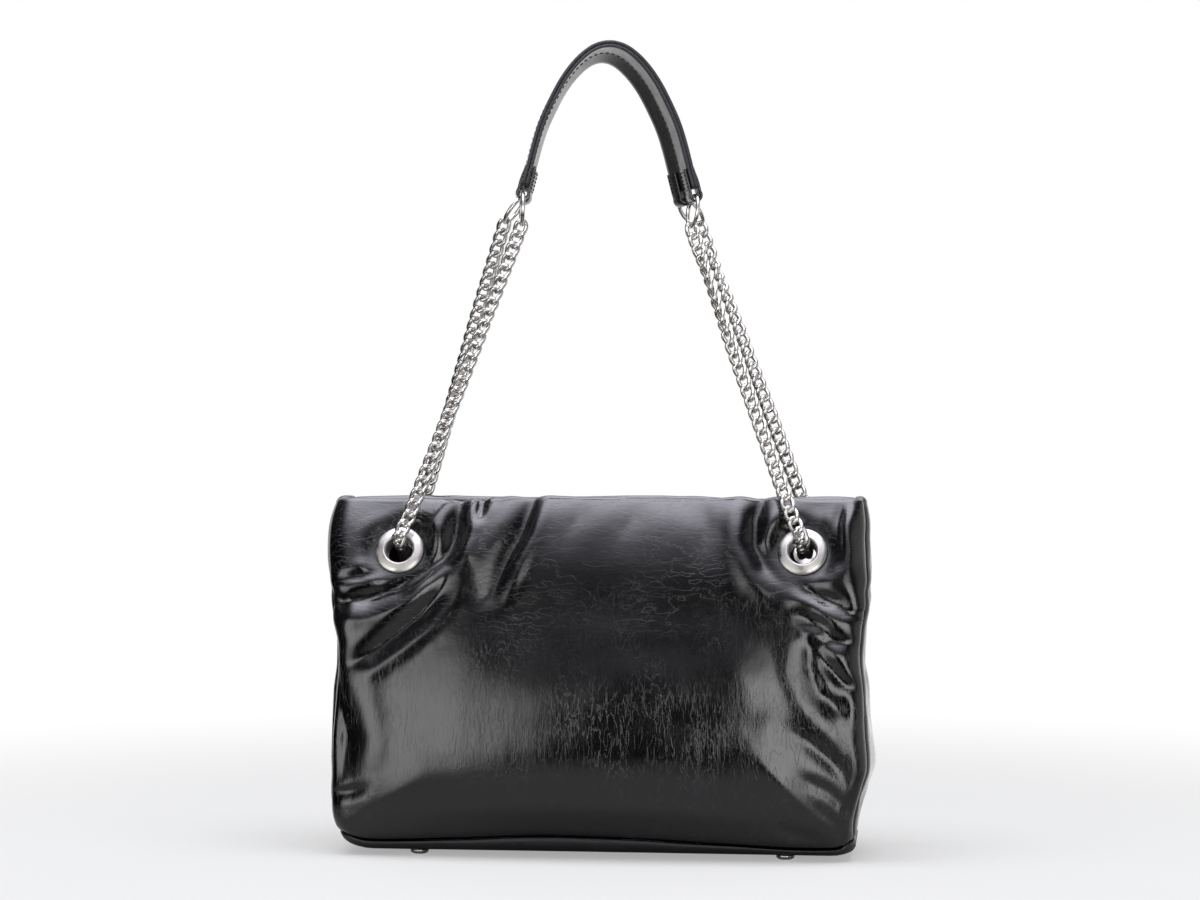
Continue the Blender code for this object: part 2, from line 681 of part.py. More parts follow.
def chain_solid(name, points, parts, materials):
    """A run of chain as one solid, a link wide at each link's middle and waisted between."""
    route = smooth_route(points, CHAIN_PITCH / 2)
    last = len(route) - 1
    rings = []
    for index, point in enumerate(route):
        tangent = (route[min(index + 1, last)] - route[max(index - 1, 0)]).normalized()
        if index == 0:
            tangent = (points[1] - points[0]).normalized()
        if index == last:
            tangent = (points[-1] - points[-2]).normalized()
        across = Vector((1, 0, 0))
        across = (across - tangent * across.dot(tangent)).normalized()
        thick = tangent.cross(across)
        half = (CHAIN_WIDTH if index % 2 and index < last else CHAIN_WAIST) / 2
        deep = CHAIN_THICKNESS / 2
        ring = [point + across * half * wide + thick * deep * high for wide, high in LINK_SHARES]
        rings.append(ring)
    return loft(name, rings, materials["metal"], parts)


def make_chains(parts, materials):
    for end in ENDS:
        sign = ENDS[end]
        inside = []
        for side in ("front", "rear"):
            point, normal, up = eyelet_place(side, sign)
            mouth = point + normal * CHAIN_MOUTH + up * CHAIN_RISE
            start = mouth + normal * GAP
            turn = CHAIN_STAND_OFF - CHAIN_MOUTH
            centre, hang, axis = ring_place(side, sign)
            top = centre + hang * (RING_RADIUS + RING_WIRE_RADIUS + CHAIN_RING_GAP)
            strand = [start + normal * turn * out + up * turn * rise for out, rise in BEND_SHARES]
            strand += [strand[-1].lerp(top, share) for share in STRAND_SHARES]
            hang_from_swing(chain_solid(f"chain_{side}_{end}", strand, parts, materials))
            inner = point - normal * (wall_stack() + OVERRUN) + up * CHAIN_RISE
            run = [mouth, inner]
            inside += run if side == "front" else reversed(run)
        middle = (inside[1] + inside[2]) / 2 - Vector((0, 0, CHAIN_SAG))
        chain_solid(f"chain_inside_{end}", inside[:2] + [middle] + inside[2:], parts, materials)


def build():
    parts, cutters = start_scene()
    materials = {
        "leather": make_material("black_leather", (0.012, 0.012, 0.014), 0.22),
        "padding": make_material("wadding", (0.75, 0.74, 0.7), 0.95),
        "lining": make_material("lining_cloth", (0.05, 0.05, 0.055), 0.8),
        "board": make_material("stiffener_board", (0.35, 0.3, 0.24), 0.85),
        "metal": make_material("nickel_plate", (0.78, 0.77, 0.75), 0.22, 1.0)}
    walls = make_walls(parts, materials)
    make_base(parts, cutters, materials)
    make_eyelets(walls, parts, cutters, materials)
    make_snap(parts, materials)
    swing = bpy.data.objects.new("strap_swing_axis", None)
    swing.location.z = SWING_HEIGHT
    parts.objects.link(swing)
    make_strap(parts, materials)
    for side, end in FOOT_ENDS:
        make_tab(f"tab_{side}_{end}", tab_frame(side, ENDS[end]), parts, materials)
        centre, hang, axis = ring_place(side, ENDS[end])
        circle = []
        for step in range(WIRE_SIDES):
            angle = math.tau * step / WIRE_SIDES
            circle.append((RING_RADIUS - RING_WIRE_RADIUS * math.cos(angle),
                           RING_WIRE_RADIUS * math.sin(angle)))
        place = place_on(centre, axis, hang)
        hang_from_swing(turned(f"ring_{side}_{end}", circle, True, place, materials["metal"], parts))
    make_chains(parts, materials)


build()
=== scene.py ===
"""Looks of the padded leather shoulder bag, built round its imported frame.

Metres, +Z up. X runs along the bag to the photograph's right and its photographed face looks
along -Y. Places and sizes of the frame are worked out by the same formulas as in its source.
"""
import math

import bmesh
import bpy
import numpy as np
from mathutils import Matrix, Vector, noise


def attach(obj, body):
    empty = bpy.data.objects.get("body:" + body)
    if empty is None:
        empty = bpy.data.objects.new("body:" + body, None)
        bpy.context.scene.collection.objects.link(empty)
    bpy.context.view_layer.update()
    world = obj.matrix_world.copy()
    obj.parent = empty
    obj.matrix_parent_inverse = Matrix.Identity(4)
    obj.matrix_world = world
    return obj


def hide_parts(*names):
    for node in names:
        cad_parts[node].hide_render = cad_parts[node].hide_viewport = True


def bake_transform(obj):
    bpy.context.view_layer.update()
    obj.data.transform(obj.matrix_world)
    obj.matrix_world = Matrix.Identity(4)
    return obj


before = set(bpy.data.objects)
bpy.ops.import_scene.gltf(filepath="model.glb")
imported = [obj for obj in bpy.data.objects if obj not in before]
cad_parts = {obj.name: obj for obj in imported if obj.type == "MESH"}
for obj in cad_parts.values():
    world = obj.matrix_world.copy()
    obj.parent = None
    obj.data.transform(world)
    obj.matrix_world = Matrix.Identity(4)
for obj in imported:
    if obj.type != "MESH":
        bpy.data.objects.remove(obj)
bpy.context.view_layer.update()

MM = 0.001

# Sizes of the frame

WALL_WIDTH = 303 * MM
WAIST_TUCK = 4 * MM
MOUTH_TUCK = 0.6 * MM
SEAM_HEIGHT = 9 * MM
MOUTH_HEIGHT = 199 * MM
KNEE_HEIGHT = 150 * MM
SEAM_HALF_DEPTH = 38 * MM
BELLY_HALF_DEPTH = 46 * MM
KNEE_HALF_DEPTH = 43 * MM
MOUTH_HALF_DEPTH = 21.5 * MM
CROWN = 7 * MM
CORNER_RADIUS = 11 * MM
GUSSET_BULGE = 1.5 * MM
GUSSET_FOLD = 8 * MM
MOUTH_FOLD = 2 * MM
LEATHER = 1.4 * MM
PADDING = 4 * MM
LINING = 1 * MM
GAP = 0.3 * MM
FACING_HEIGHT = 46 * MM
ROLL_RADIUS = (LEATHER + PADDING + LINING) / 2 + 1.5 * GAP
WALL_STACK = LEATHER + GAP + PADDING + GAP + LINING
BASE_CLEARANCE = 3.1 * MM
BASE_EDGE_RADIUS = SEAM_HEIGHT - BASE_CLEARANCE
FOOT_RADIUS = 5.3 * MM
FOOT_FLAT_RADIUS = 3.6 * MM
FOOT_X = 104 * MM
FOOT_Y = 25 * MM
EYELET_X = 114 * MM
EYELET_HEIGHT = 172.5 * MM
EYELET_RADIUS = 14 * MM
EYELET_BORE_RADIUS = 7.6 * MM
EYELET_WALL = 0.8 * MM
EYELET_DOME = 2.3 * MM
EYELET_WASHER_RADIUS = 12.5 * MM
EYELET_WASHER = 0.8 * MM
SNAP_HEIGHT = 178 * MM
SNAP_RADIUS = 8.5 * MM
SNAP_THICKNESS = 2 * MM
SNAP_POST_RADIUS = 2.4 * MM
SNAP_POST = 2.2 * MM
STRAP_TOP = 462.5 * MM
STRAP_HALF_SPAN = 50 * MM
STRAP_DROP = 83 * MM
STRAP_HALF_WIDTH = 14.5 * MM
STRAP_LAYER = 1.9 * MM
STRAP_FRONT_FLARE = 1.5 * MM
STRAP_REAR_FLARE = 5 * MM
STRAP_TURN = math.radians(17)
TAB_WIDTH = 9 * MM
TAB_LEATHER = 1.4 * MM
TAB_EYE_RADIUS = 2.6 * MM
TAB_LENGTH = 16 * MM
TAB_PLACE = 8.7 * MM
RING_RADIUS = 9.1 * MM
RING_WIRE_RADIUS = 1.2 * MM
RING_SPREAD = math.radians(18)
CHAIN_PITCH = 6.8 * MM
CHAIN_RISE = 5.1 * MM
CHAIN_MOUTH = 3 * MM
CHAIN_STAND_OFF = 8.6 * MM
CHAIN_SAG = 4 * MM
CHAIN_RING_GAP = 1 * MM
OVERRUN = 2 * MM
SEAM_ANGLE = math.radians(78)

LONG_SIDES = ("front", "rear")
SIDES = {"front": (0, -1), "rear": (0, 1), "left": (-1, 0), "right": (1, 0)}
ENDS = {"left": -1, "right": 1}
CORNERS = [(f"{side}_{name}", side, end) for side in LONG_SIDES for name, end in ENDS.items()]
ALONG_BAG = Vector((1, 0, 0))
ACROSS_BAG = Vector((0, 1, 0))
ARCH_SHARES = [(0.0, 0.014), (0.195, 0.044), (0.385, 0.135), (0.555, 0.268), (0.695, 0.424), (0.797, 0.562),
               (0.87, 0.70), (0.935, 0.85), (1.0, 1.0)]
WIDTH_SHARES = [(0.0, 0.0, 1.0), (0.15, 0.0, 0.0), (0.4, 0.15, 0.0), (0.62, 1.0, 0.0), (0.85, 0.0, 0.5),
                (1.0, 0.0, 1.0)]
DEPTH_SHARES = [(0.0, SEAM_HALF_DEPTH, 0.0), (0.2, SEAM_HALF_DEPTH, 0.7), (0.5, BELLY_HALF_DEPTH, 1.0),
                (0.8, KNEE_HALF_DEPTH, 0.85), (1.0, KNEE_HALF_DEPTH, 0.0)]
GUSSET_SHARES = [(0.0, 0.0, 0.0, 0.0), (0.25, 1.0, 0.0, 0.0), (0.44, 0.0, 0.4, 0.0), (0.62, 0.0, 1.0, 0.0),
                 (0.82, 0.0, 0.5, 0.5), (1.0, 0.0, 0.0, 1.0)]
BEND_SHARES = [(0.0, 0.0), (0.3, 0.0), (0.9, 0.6), (1.0, 2.0)]
STRAND_SHARES = (0.15, 0.4, 0.7)

# Camera, as the photograph

CAMERA_TURN = math.radians(6.5)
CAMERA_DISTANCE = 1.6
CAMERA_HEIGHT = 0.2294
CAMERA_LEFT = 3.5 * MM
PHOTO_WIDTH = 1200
PHOTO_HEIGHT = 900
FOCAL_PIXELS = 2787
SENSOR = 36

# Studio

# Soft panels of light that show in glossy surfaces: turn from -Y toward +X, then rise, in degrees.
# Each has the start and the full edge on one side, then the full edge and the end on the other,
# its strength, and how much its upright edges lean with the rise.
SOFT_PANELS = [((-60, -42, -22, -8), (-34, -6, 7, 26), 2.9, -0.2),
               ((8, 11, 26, 43), (-34, -5, 10, 28), 3.9, 0.3),
               ((38, 80, 118, 134), (-34, -14, 18, 40), 0.6, 0.0)]
# Glows that fade with the rise: from and to in degrees, and the glow at each
REAR_FADE = (8, 32, 1.0, 0.25)
TOP_GLOW = (40, 80, 0.0, 5.2)
UPPER_GLOW = (16, 48, 0.0, 1.15)
# Glows that fade with a part of the direction: from and to, and the share at each
REAR_GLOW = (0.30, 0.85, 0.02, 1.0)
TOP_SIDES = (0.30, 0.64, 1.0, 0.1)
TOP_TINT = (0.94, 0.93, 1.04)
ROOM_GLOW = 0.32
# Lamps that light the bag as the soft panels do: place, width and height, radiance and colour
LAMP_AIM = Vector((0.0, 0.0, 0.1))
LAMPS = {"soft_box_left": ((-0.97, -1.88, 0.28), (1.35, 0.60), 2.6, (1.0, 0.99, 0.99)),
         "soft_box_right": ((0.74, -1.98, 0.28), (1.2, 0.60), 3.0, (1.0, 0.99, 0.99)),
         "soft_box_top": ((0.0, -0.30, 1.35), (1.7, 0.8), 4.0, (0.95, 0.96, 1.0)),
         "soft_box_back_left": ((-1.2, 1.3, 0.6), (0.8, 1.0), 1.6, (1.0, 1.0, 1.0)),
         "soft_box_back_right": ((1.3, 1.2, 0.5), (0.8, 1.0), 1.6, (1.0, 1.0, 1.0))}
FLOOR_RADIUS = 1.15
FLOOR_GREY = 0.5
FLOOR_GLOW = 0.36
# Where the floor turns white as seen, and where it stops showing in glossy surfaces
FLOOR_WHITE = (0.28, 0.9)
FLOOR_CLEAR = (0.13, 0.34)


def mix(a, b, share):
    return a + (b - a) * share


def smooth(low, high, value):
    t = min(1.0, max(0.0, (value - low) / (high - low)))
    return t * t * (3 - 2 * t)


def in_mm(*pairs):
    """Pairs of millimetres, in metres."""
    return [(position * MM, value * MM) for position, value in pairs]


def curve_value(table, at):
    """Read a smooth curve through (position, value) pairs."""
    if at <= table[0][0]:
        return table[0][1]
    for index in range(len(table) - 1):
        (left, low), (right, high) = table[index], table[index + 1]
        if at <= right:
            before = table[max(index - 1, 0)]
            after = table[min(index + 2, len(table) - 1)]
            slope_low = (high - before[1]) / (right - before[0])
            slope_high = (after[1] - low) / (after[0] - left)
            span = right - left
            t = (at - left) / span
            return ((2 * t ** 3 - 3 * t ** 2 + 1) * low + (t ** 3 - 2 * t ** 2 + t) * span * slope_low
                    + (3 * t ** 2 - 2 * t ** 3) * high + (t ** 3 - t ** 2) * span * slope_high)
    return table[-1][1]


# The wall's own shape

WIDTHS = [(mix(SEAM_HEIGHT, MOUTH_HEIGHT, rise), WALL_WIDTH / 2 - waist * WAIST_TUCK - mouth * MOUTH_TUCK)
          for rise, waist, mouth in WIDTH_SHARES]
DEPTHS = [(mix(SEAM_HEIGHT, KNEE_HEIGHT, rise), mix(end, BELLY_HALF_DEPTH, share))
          for rise, end, share in DEPTH_SHARES]
GUSSET_PUSHES = [(mix(SEAM_HEIGHT, MOUTH_HEIGHT, rise),
                  bulge * GUSSET_BULGE - fold * GUSSET_FOLD - mouth * MOUTH_FOLD)
                 for rise, bulge, fold, mouth in GUSSET_SHARES]


def half_width(height):
    return curve_value(WIDTHS, height)


def half_depth(height):
    if height >= KNEE_HEIGHT:
        return mix(KNEE_HALF_DEPTH, MOUTH_HALF_DEPTH, (height - KNEE_HEIGHT) / (MOUTH_HEIGHT - KNEE_HEIGHT))
    return curve_value(DEPTHS, height)


def crown(height):
    share = (height - SEAM_HEIGHT) / (KNEE_HEIGHT - SEAM_HEIGHT)
    return CROWN * math.sin(math.pi * share) ** 2 if 0 < share < 1 else 0.0


def side_reach(side, height):
    """Flat half length of a side and the half length to its seam, round the corner."""
    flat = (half_width(height) if side in LONG_SIDES else half_depth(height)) - CORNER_RADIUS
    return flat, flat + CORNER_RADIUS * math.pi / 4


def wall_point(side, along, height):
    """Outer face of the wall, with along from -1 to 1 between the two seams of a side."""
    wide, deep = half_width(height), half_depth(height)
    across_x, across_y = SIDES[side]
    if across_y:
        flat, stand, push, power = wide - CORNER_RADIUS, deep, crown(height), 4
    else:
        flat, stand, push, power = deep - CORNER_RADIUS, wide, curve_value(GUSSET_PUSHES, height), 2
    travel = along * (flat + CORNER_RADIUS * math.pi / 4)
    if abs(travel) <= flat:
        run = travel
        out = stand + push * (1 - (travel / flat) ** power) ** 3
    else:
        angle = (abs(travel) - flat) / CORNER_RADIUS
        run = math.copysign(flat + CORNER_RADIUS * math.sin(angle), travel)
        out = stand - CORNER_RADIUS * (1 - math.cos(angle))
    if across_y:
        return Vector((run, out * across_y, height))
    return Vector((out * across_x, run, height))


def wall_frame(side, along, height):
    """A point of the wall's outer face, its outward normal and its upward direction."""
    step = 1e-4
    tiny = step * (MOUTH_HEIGHT - SEAM_HEIGHT)
    low = max(height - tiny, SEAM_HEIGHT)
    high = min(height + tiny, MOUTH_HEIGHT)
    up = (wall_point(side, along, high) - wall_point(side, along, low)).normalized()
    across = wall_point(side, along + step, height) - wall_point(side, along - step, height)
    normal = across.cross(up).normalized()
    if normal.dot(Vector((*SIDES[side], 0.0))) < 0:
        normal = -normal
    return wall_point(side, along, height), normal, up


def skin_reach(side, height):
    """Half length of a side's outer leather: the front and rear go most of the way round the corners."""
    angle = SEAM_ANGLE if side in LONG_SIDES else math.pi / 2 - SEAM_ANGLE
    return side_reach(side, height)[0] + CORNER_RADIUS * angle


def eyelet_place(side, end):
    along = end * EYELET_X / side_reach(side, EYELET_HEIGHT)[1]
    return wall_frame(side, along, EYELET_HEIGHT)


def eyelet_distance(x, height):
    """How far a place on a wall is from the middle of the nearer eyelet."""
    return min(math.dist((x, height), (end * EYELET_X, EYELET_HEIGHT)) for end in ENDS.values())


# The strap's own shape

def smooth_route(points, spacing):
    """Even steps along a smooth curve through the points."""
    fine = []
    steps = 16
    for index in range(len(points) - 1):
        before = points[max(index - 1, 0)]
        first, second = points[index], points[index + 1]
        after = points[min(index + 2, len(points) - 1)]
        for step in range(steps):
            t = step / steps
            fine.append(0.5 * (2 * first + (second - before) * t
                               + (2 * before - 5 * first + 4 * second - after) * t ** 2
                               + (3 * first - before - 3 * second + after) * t ** 3))
    fine.append(points[-1])
    lengths = running_lengths(fine)
    count = max(2, round(lengths[-1] / spacing))
    route = []
    at = 0
    for index in range(count + 1):
        wanted = lengths[-1] * index / count
        while at < len(fine) - 2 and lengths[at + 1] < wanted:
            at += 1
        share = (wanted - lengths[at]) / (lengths[at + 1] - lengths[at])
        route.append(fine[at].lerp(fine[at + 1], share))
    return route


def running_lengths(points):
    """How far along the points each one lies."""
    lengths = [0.0]
    for first, second in zip(points, points[1:]):
        lengths.append(lengths[-1] + (second - first).length)
    return lengths


def strap_stations(spacing):
    """Crease line of the arch, from its left end to its right end, with outward normals."""
    right = [Vector((STRAP_HALF_SPAN * span, 0.0, STRAP_TOP - STRAP_DROP * drop))
             for span, drop in ARCH_SHARES]
    left = [Vector((-point.x, 0.0, point.z)) for point in reversed(right[1:])]
    route = smooth_route(left + right, spacing)
    stations = []
    for index, point in enumerate(route):
        tangent = (route[min(index + 1, len(route) - 1)] - route[max(index - 1, 0)]).normalized()
        stations.append((point, Vector((-tangent.z, 0.0, tangent.x)), tangent))
    return stations


def strap_halves(outward):
    """For each half of the strap, its direction away from the crease and its outer face's normal."""
    halves = {}
    for side, direction in (("front", outward * STRAP_FRONT_FLARE - ACROSS_BAG * STRAP_HALF_WIDTH),
                            ("rear", -outward * STRAP_REAR_FLARE + ACROSS_BAG * STRAP_HALF_WIDTH)):
        direction = direction.normalized()
        halves[side] = (direction, (outward - direction * outward.dot(direction)).normalized())
    return halves


def strap_turned(point):
    return Matrix.Rotation(STRAP_TURN, 3, "Z") @ point


def tab_frame(side, end):
    """Eye centre of a tab, with its width, leather and upward directions, strap turned."""
    stations = strap_stations(STRAP_DROP / 8)
    point, outward, tangent = stations[-1] if end > 0 else stations[0]
    up = -tangent if end > 0 else tangent
    along, lift = strap_halves(outward)[side]
    middle = point + along * TAB_PLACE - lift * (STRAP_LAYER + GAP / 2)
    eye = middle - up * (TAB_EYE_RADIUS + TAB_LEATHER)
    return [strap_turned(each) for each in (eye, along, lift, up)]


def ring_place(side, end):
    """Centre, hanging direction and axis of a ring, which hangs from its tab's eye."""
    eye, along, lift = tab_frame(side, end)[:3]
    point, normal = eyelet_place(side, end)[:2]
    pull = (point + normal * CHAIN_STAND_OFF - eye).normalized()
    hang = (pull - along * pull.dot(along)).normalized()
    outward = (lift - hang * lift.dot(hang)).normalized()
    lean = -RING_SPREAD if side == "front" else RING_SPREAD
    hang = hang * math.cos(lean) + outward * math.sin(lean)
    return eye + hang * RING_RADIUS, hang, along.cross(hang)


# Camera

def camera_axes():
    ahead = Vector((-math.sin(CAMERA_TURN), math.cos(CAMERA_TURN), 0.0))
    right = Vector((math.cos(CAMERA_TURN), math.sin(CAMERA_TURN), 0.0))
    place = -ahead * CAMERA_DISTANCE - right * CAMERA_LEFT
    place.z = CAMERA_HEIGHT
    return place, ahead, right


def make_camera():
    place, ahead, right = camera_axes()
    data = bpy.data.cameras.new("camera")
    data.sensor_width = SENSOR
    data.lens = SENSOR * FOCAL_PIXELS / PHOTO_WIDTH
    camera = bpy.data.objects.new("camera", data)
    bpy.context.scene.collection.objects.link(camera)
    camera.matrix_world = Matrix.Translation(place) @ Matrix(
        (right, Vector((0, 0, 1)), -ahead)).transposed().to_4x4()
    bpy.context.scene.camera = camera


def on_front(px, py):
    """Where a pixel of the photograph falls on the bag's front, as (x, height)."""
    place, ahead, right = camera_axes()
    ray = ahead + right * ((px - PHOTO_WIDTH / 2) / FOCAL_PIXELS)
    ray.z = (PHOTO_HEIGHT / 2 - py) / FOCAL_PIXELS
    depth = BELLY_HALF_DEPTH
    tries = 4
    for _ in range(tries):
        spot = place + ray * ((-depth - place.y) / ray.y)
        height = min(max(spot.z, SEAM_HEIGHT), MOUTH_HEIGHT)
        flat = side_reach("front", height)[0]
        depth = half_depth(height) + crown(height) * max(0.0, 1 - min(1.0, abs(spot.x / flat)) ** 4) ** 3
    return spot.x, spot.z


# Shader nodes

class Nodes:
    """A short way to write the nodes of a material or a world."""

    def __init__(self, owner):
        owner.use_nodes = True
        self.owner = owner
        self.tree = owner.node_tree
        self.shader = self.tree.nodes.get("Principled BSDF")
        self.ways = self.add("TexCoord").outputs
        self.place = self.ways["Object"]

    def feed(self, socket, value):
        """Give an input a value, or link an output to it."""
        if isinstance(value, bpy.types.NodeSocket):
            self.tree.links.new(value, socket)
        else:
            socket.default_value = value

    def add(self, kind, inputs=None, **settings):
        node = self.tree.nodes.new(f"ShaderNode{kind}")
        for key, value in settings.items():
            setattr(node, key, value)
        for key, value in (inputs or {}).items():
            self.feed(node.inputs[key], value)
        return node

    def put(self, **inputs):
        """Set inputs of the surface's own shader, with their names' spaces as underscores."""
        for key, value in inputs.items():
            self.feed(self.shader.inputs[key.replace("_", " ")], value)

    def math(self, kind, *parts):
        return self.add("Math", dict(enumerate(parts)), operation=kind).outputs[0]

    def ramp(self, value, low, high, to_low=0.0, to_high=1.0):
        ends = {"From Min": low, "From Max": high, "To Min": to_low, "To Max": to_high, "Value": value}
        return self.add("MapRange", ends, interpolation_type="SMOOTHSTEP").outputs["Result"]

    def turned_ramp(self, angle, low, high, to_low, to_high):
        """A ramp over an angle, its ends in degrees."""
        return self.ramp(angle, math.radians(low), math.radians(high), to_low, to_high)

    def weighed(self, first, by_first, second, by_second):
        """Sum of two values, each times its weight."""
        parts = (self.math("MULTIPLY", first, by_first), self.math("MULTIPLY", second, by_second))
        return self.math("ADD", *parts)

    def blended(self, share, first, second):
        return self.add("MixShader", {"Fac": share, 1: first, 2: second}).outputs[0]

    def panel(self, turn, rise, turns, rises, strength, lean):
        """A glow between four directions in degrees, each edge given as where it starts and is full."""
        turn = self.math("ADD", turn, self.math("MULTIPLY", rise, lean))
        glow = strength
        for angle, edges in ((turn, turns), (rise, rises)):
            glow = self.math("MULTIPLY", glow, self.turned_ramp(angle, *edges[:2], 0.0, 1.0))
            glow = self.math("MULTIPLY", glow, self.turned_ramp(angle, *edges[2:], 1.0, 0.0))
        return glow

    def stretched(self, scale, turn=(0.0, 0.0, 0.0)):
        return self.add("Mapping", {"Scale": scale, "Rotation": turn, "Vector": self.place}).outputs[0]

    def noise(self, scale, detail=3.0, place=None, rough=0.5, out="Fac"):
        inputs = {"Scale": scale, "Detail": detail, "Roughness": rough, "Vector": place or self.place}
        return self.add("TexNoise", inputs).outputs[out]

    def warped(self, place, scale, strength):
        """The place shifted about by noise."""
        shift = self.noise(scale, 2.0, place, out="Color")
        amount = self.add("VectorMath", {"Scale": strength, 0: shift}, operation="SCALE").outputs[0]
        return self.add("VectorMath", {0: place, 1: amount}, operation="ADD").outputs[0]

    def off_middle(self, scale, detail, place, rough):
        """How far a noise is from its middle value."""
        return self.math("ABSOLUTE", self.math("SUBTRACT", self.noise(scale, detail, place, rough), 0.5))

    def creases(self, scale, place, width):
        """Wandering thin lines, 1 on a line, where a noise crosses its middle value."""
        return self.ramp(self.off_middle(scale, 2.0, place, 0.5), 0.0, width, 1.0, 0.0)

    def ridges(self, scale, place):
        """Soft ridges with narrow valleys between them."""
        return self.ramp(self.off_middle(scale, 3.0, place, 0.6), 0.0, 0.13)

    def wave(self, scale, direction, **inputs):
        inputs.update(Scale=scale, Vector=self.place)
        return self.add("TexWave", inputs, wave_type="BANDS", bands_direction=direction).outputs["Fac"]

    def colours(self, value, low, high):
        node = self.add("Mix", {"A": (*low, 1.0), "B": (*high, 1.0), "Factor": value}, data_type="RGBA")
        self.put(Base_Color=node.outputs["Result"])

    def bumps(self, *layers):
        """Layers of relief, each a height and its distance."""
        inputs = {}
        for height, distance in layers:
            inputs.update(Distance=distance, Height=height)
            inputs["Normal"] = self.add("Bump", inputs).outputs[0]
        self.put(Normal=inputs["Normal"])


# Stage

def make_lamp(name, place, size, radiance, colour):
    """A soft box whose mirror image is the world's soft panel, so it doesn't show itself."""
    data = bpy.data.lights.new(name, "AREA")
    data.shape = "RECTANGLE"
    data.size, data.size_y = size
    data.energy = radiance * math.pi * size[0] * size[1]
    data.color = colour
    lamp = bpy.data.objects.new(name, data)
    lamp.visible_glossy = False
    bpy.context.scene.collection.objects.link(lamp)
    lamp.location = place
    lamp.rotation_mode = "QUATERNION"
    lamp.rotation_quaternion = (LAMP_AIM - Vector(place)).to_track_quat("-Z", "Y")


def make_world():
    """The studio round the bag: white as seen, and in glossy surfaces dark with soft panels of light."""
    world = bpy.data.worlds.new("studio")
    world.use_nodes = True
    world.node_tree.nodes.clear()
    made = Nodes(world)
    ways = made.add("SeparateXYZ", {0: made.ways["Generated"]}).outputs
    turn = made.math("ARCTAN2", ways["X"], made.math("MULTIPLY", ways["Y"], -1.0))
    rise = made.math("ARCSINE", ways["Z"])
    glow = made.math("MULTIPLY", made.ramp(ways["Y"], *REAR_GLOW), made.turned_ramp(rise, *REAR_FADE))
    for panel in SOFT_PANELS:
        glow = made.math("ADD", glow, made.panel(turn, rise, *panel))
    top = made.math("ADD", made.turned_ramp(rise, *TOP_GLOW), made.turned_ramp(rise, *UPPER_GLOW))
    top = made.math("MULTIPLY", top, made.ramp(made.math("ABSOLUTE", ways["X"]), *TOP_SIDES))
    tint = made.add("CombineXYZ", {axis: made.math("ADD", glow, made.math("MULTIPLY", top, share))
                                   for axis, share in zip("XYZ", TOP_TINT)}).outputs[0]
    white = (1, 1, 1, 1)
    plain, mirrored, seen = (made.add("Background", {"Color": colour, "Strength": strength}).outputs[0]
                             for colour, strength in ((white, ROOM_GLOW), (tint, 1.0), (white, 1.0)))
    path = made.add("LightPath").outputs
    shiny = made.math("MAXIMUM", path["Is Glossy Ray"], path["Is Transmission Ray"])
    both = made.blended(shiny, plain, mirrored)
    made.add("OutputWorld", {"Surface": made.blended(path["Is Camera Ray"], both, seen)})
    bpy.context.scene.world = world


def floor_finish():
    """A pale floor that turns white further off and isn't mirrored in the bag there."""
    made = Nodes(bpy.data.materials.new("pale_floor"))
    path = made.add("LightPath").outputs
    made.put(Base_Color=(FLOOR_GREY, FLOOR_GREY, FLOOR_GREY, 1), Roughness=0.9, Specular_IOR_Level=0.0,
             Emission_Color=(FLOOR_GLOW, FLOOR_GLOW, FLOOR_GLOW, 1), Emission_Strength=path["Is Camera Ray"])
    reach = made.add("VectorMath", {0: made.place}, operation="LENGTH").outputs["Value"]
    shown = made.math("MULTIPLY", made.ramp(reach, *FLOOR_WHITE), path["Is Camera Ray"])
    whitened = made.blended(shown, made.shader.outputs[0], made.add("Emission").outputs[0])
    faded = made.math("MULTIPLY", made.ramp(reach, *FLOOR_CLEAR), path["Is Glossy Ray"])
    surface = made.blended(faded, whitened, made.add("BsdfTransparent").outputs[0])
    made.feed(made.tree.nodes["Material Output"].inputs["Surface"], surface)
    return made.owner


def make_stage():
    scene = bpy.context.scene
    scene.view_settings.view_transform = "Standard"
    for name, values in LAMPS.items():
        make_lamp(name, *values)
    make_world()
    work = bmesh.new()
    bmesh.ops.create_circle(work, cap_ends=True, segments=96, radius=FLOOR_RADIUS)
    mesh = bpy.data.meshes.new("floor")
    work.to_mesh(mesh)
    work.free()
    floor = bpy.data.objects.new("floor", mesh)
    scene.collection.objects.link(floor)
    mesh.materials.append(floor_finish())


# Materials

def scaled(colour, share):
    return tuple(share * part for part in colour)


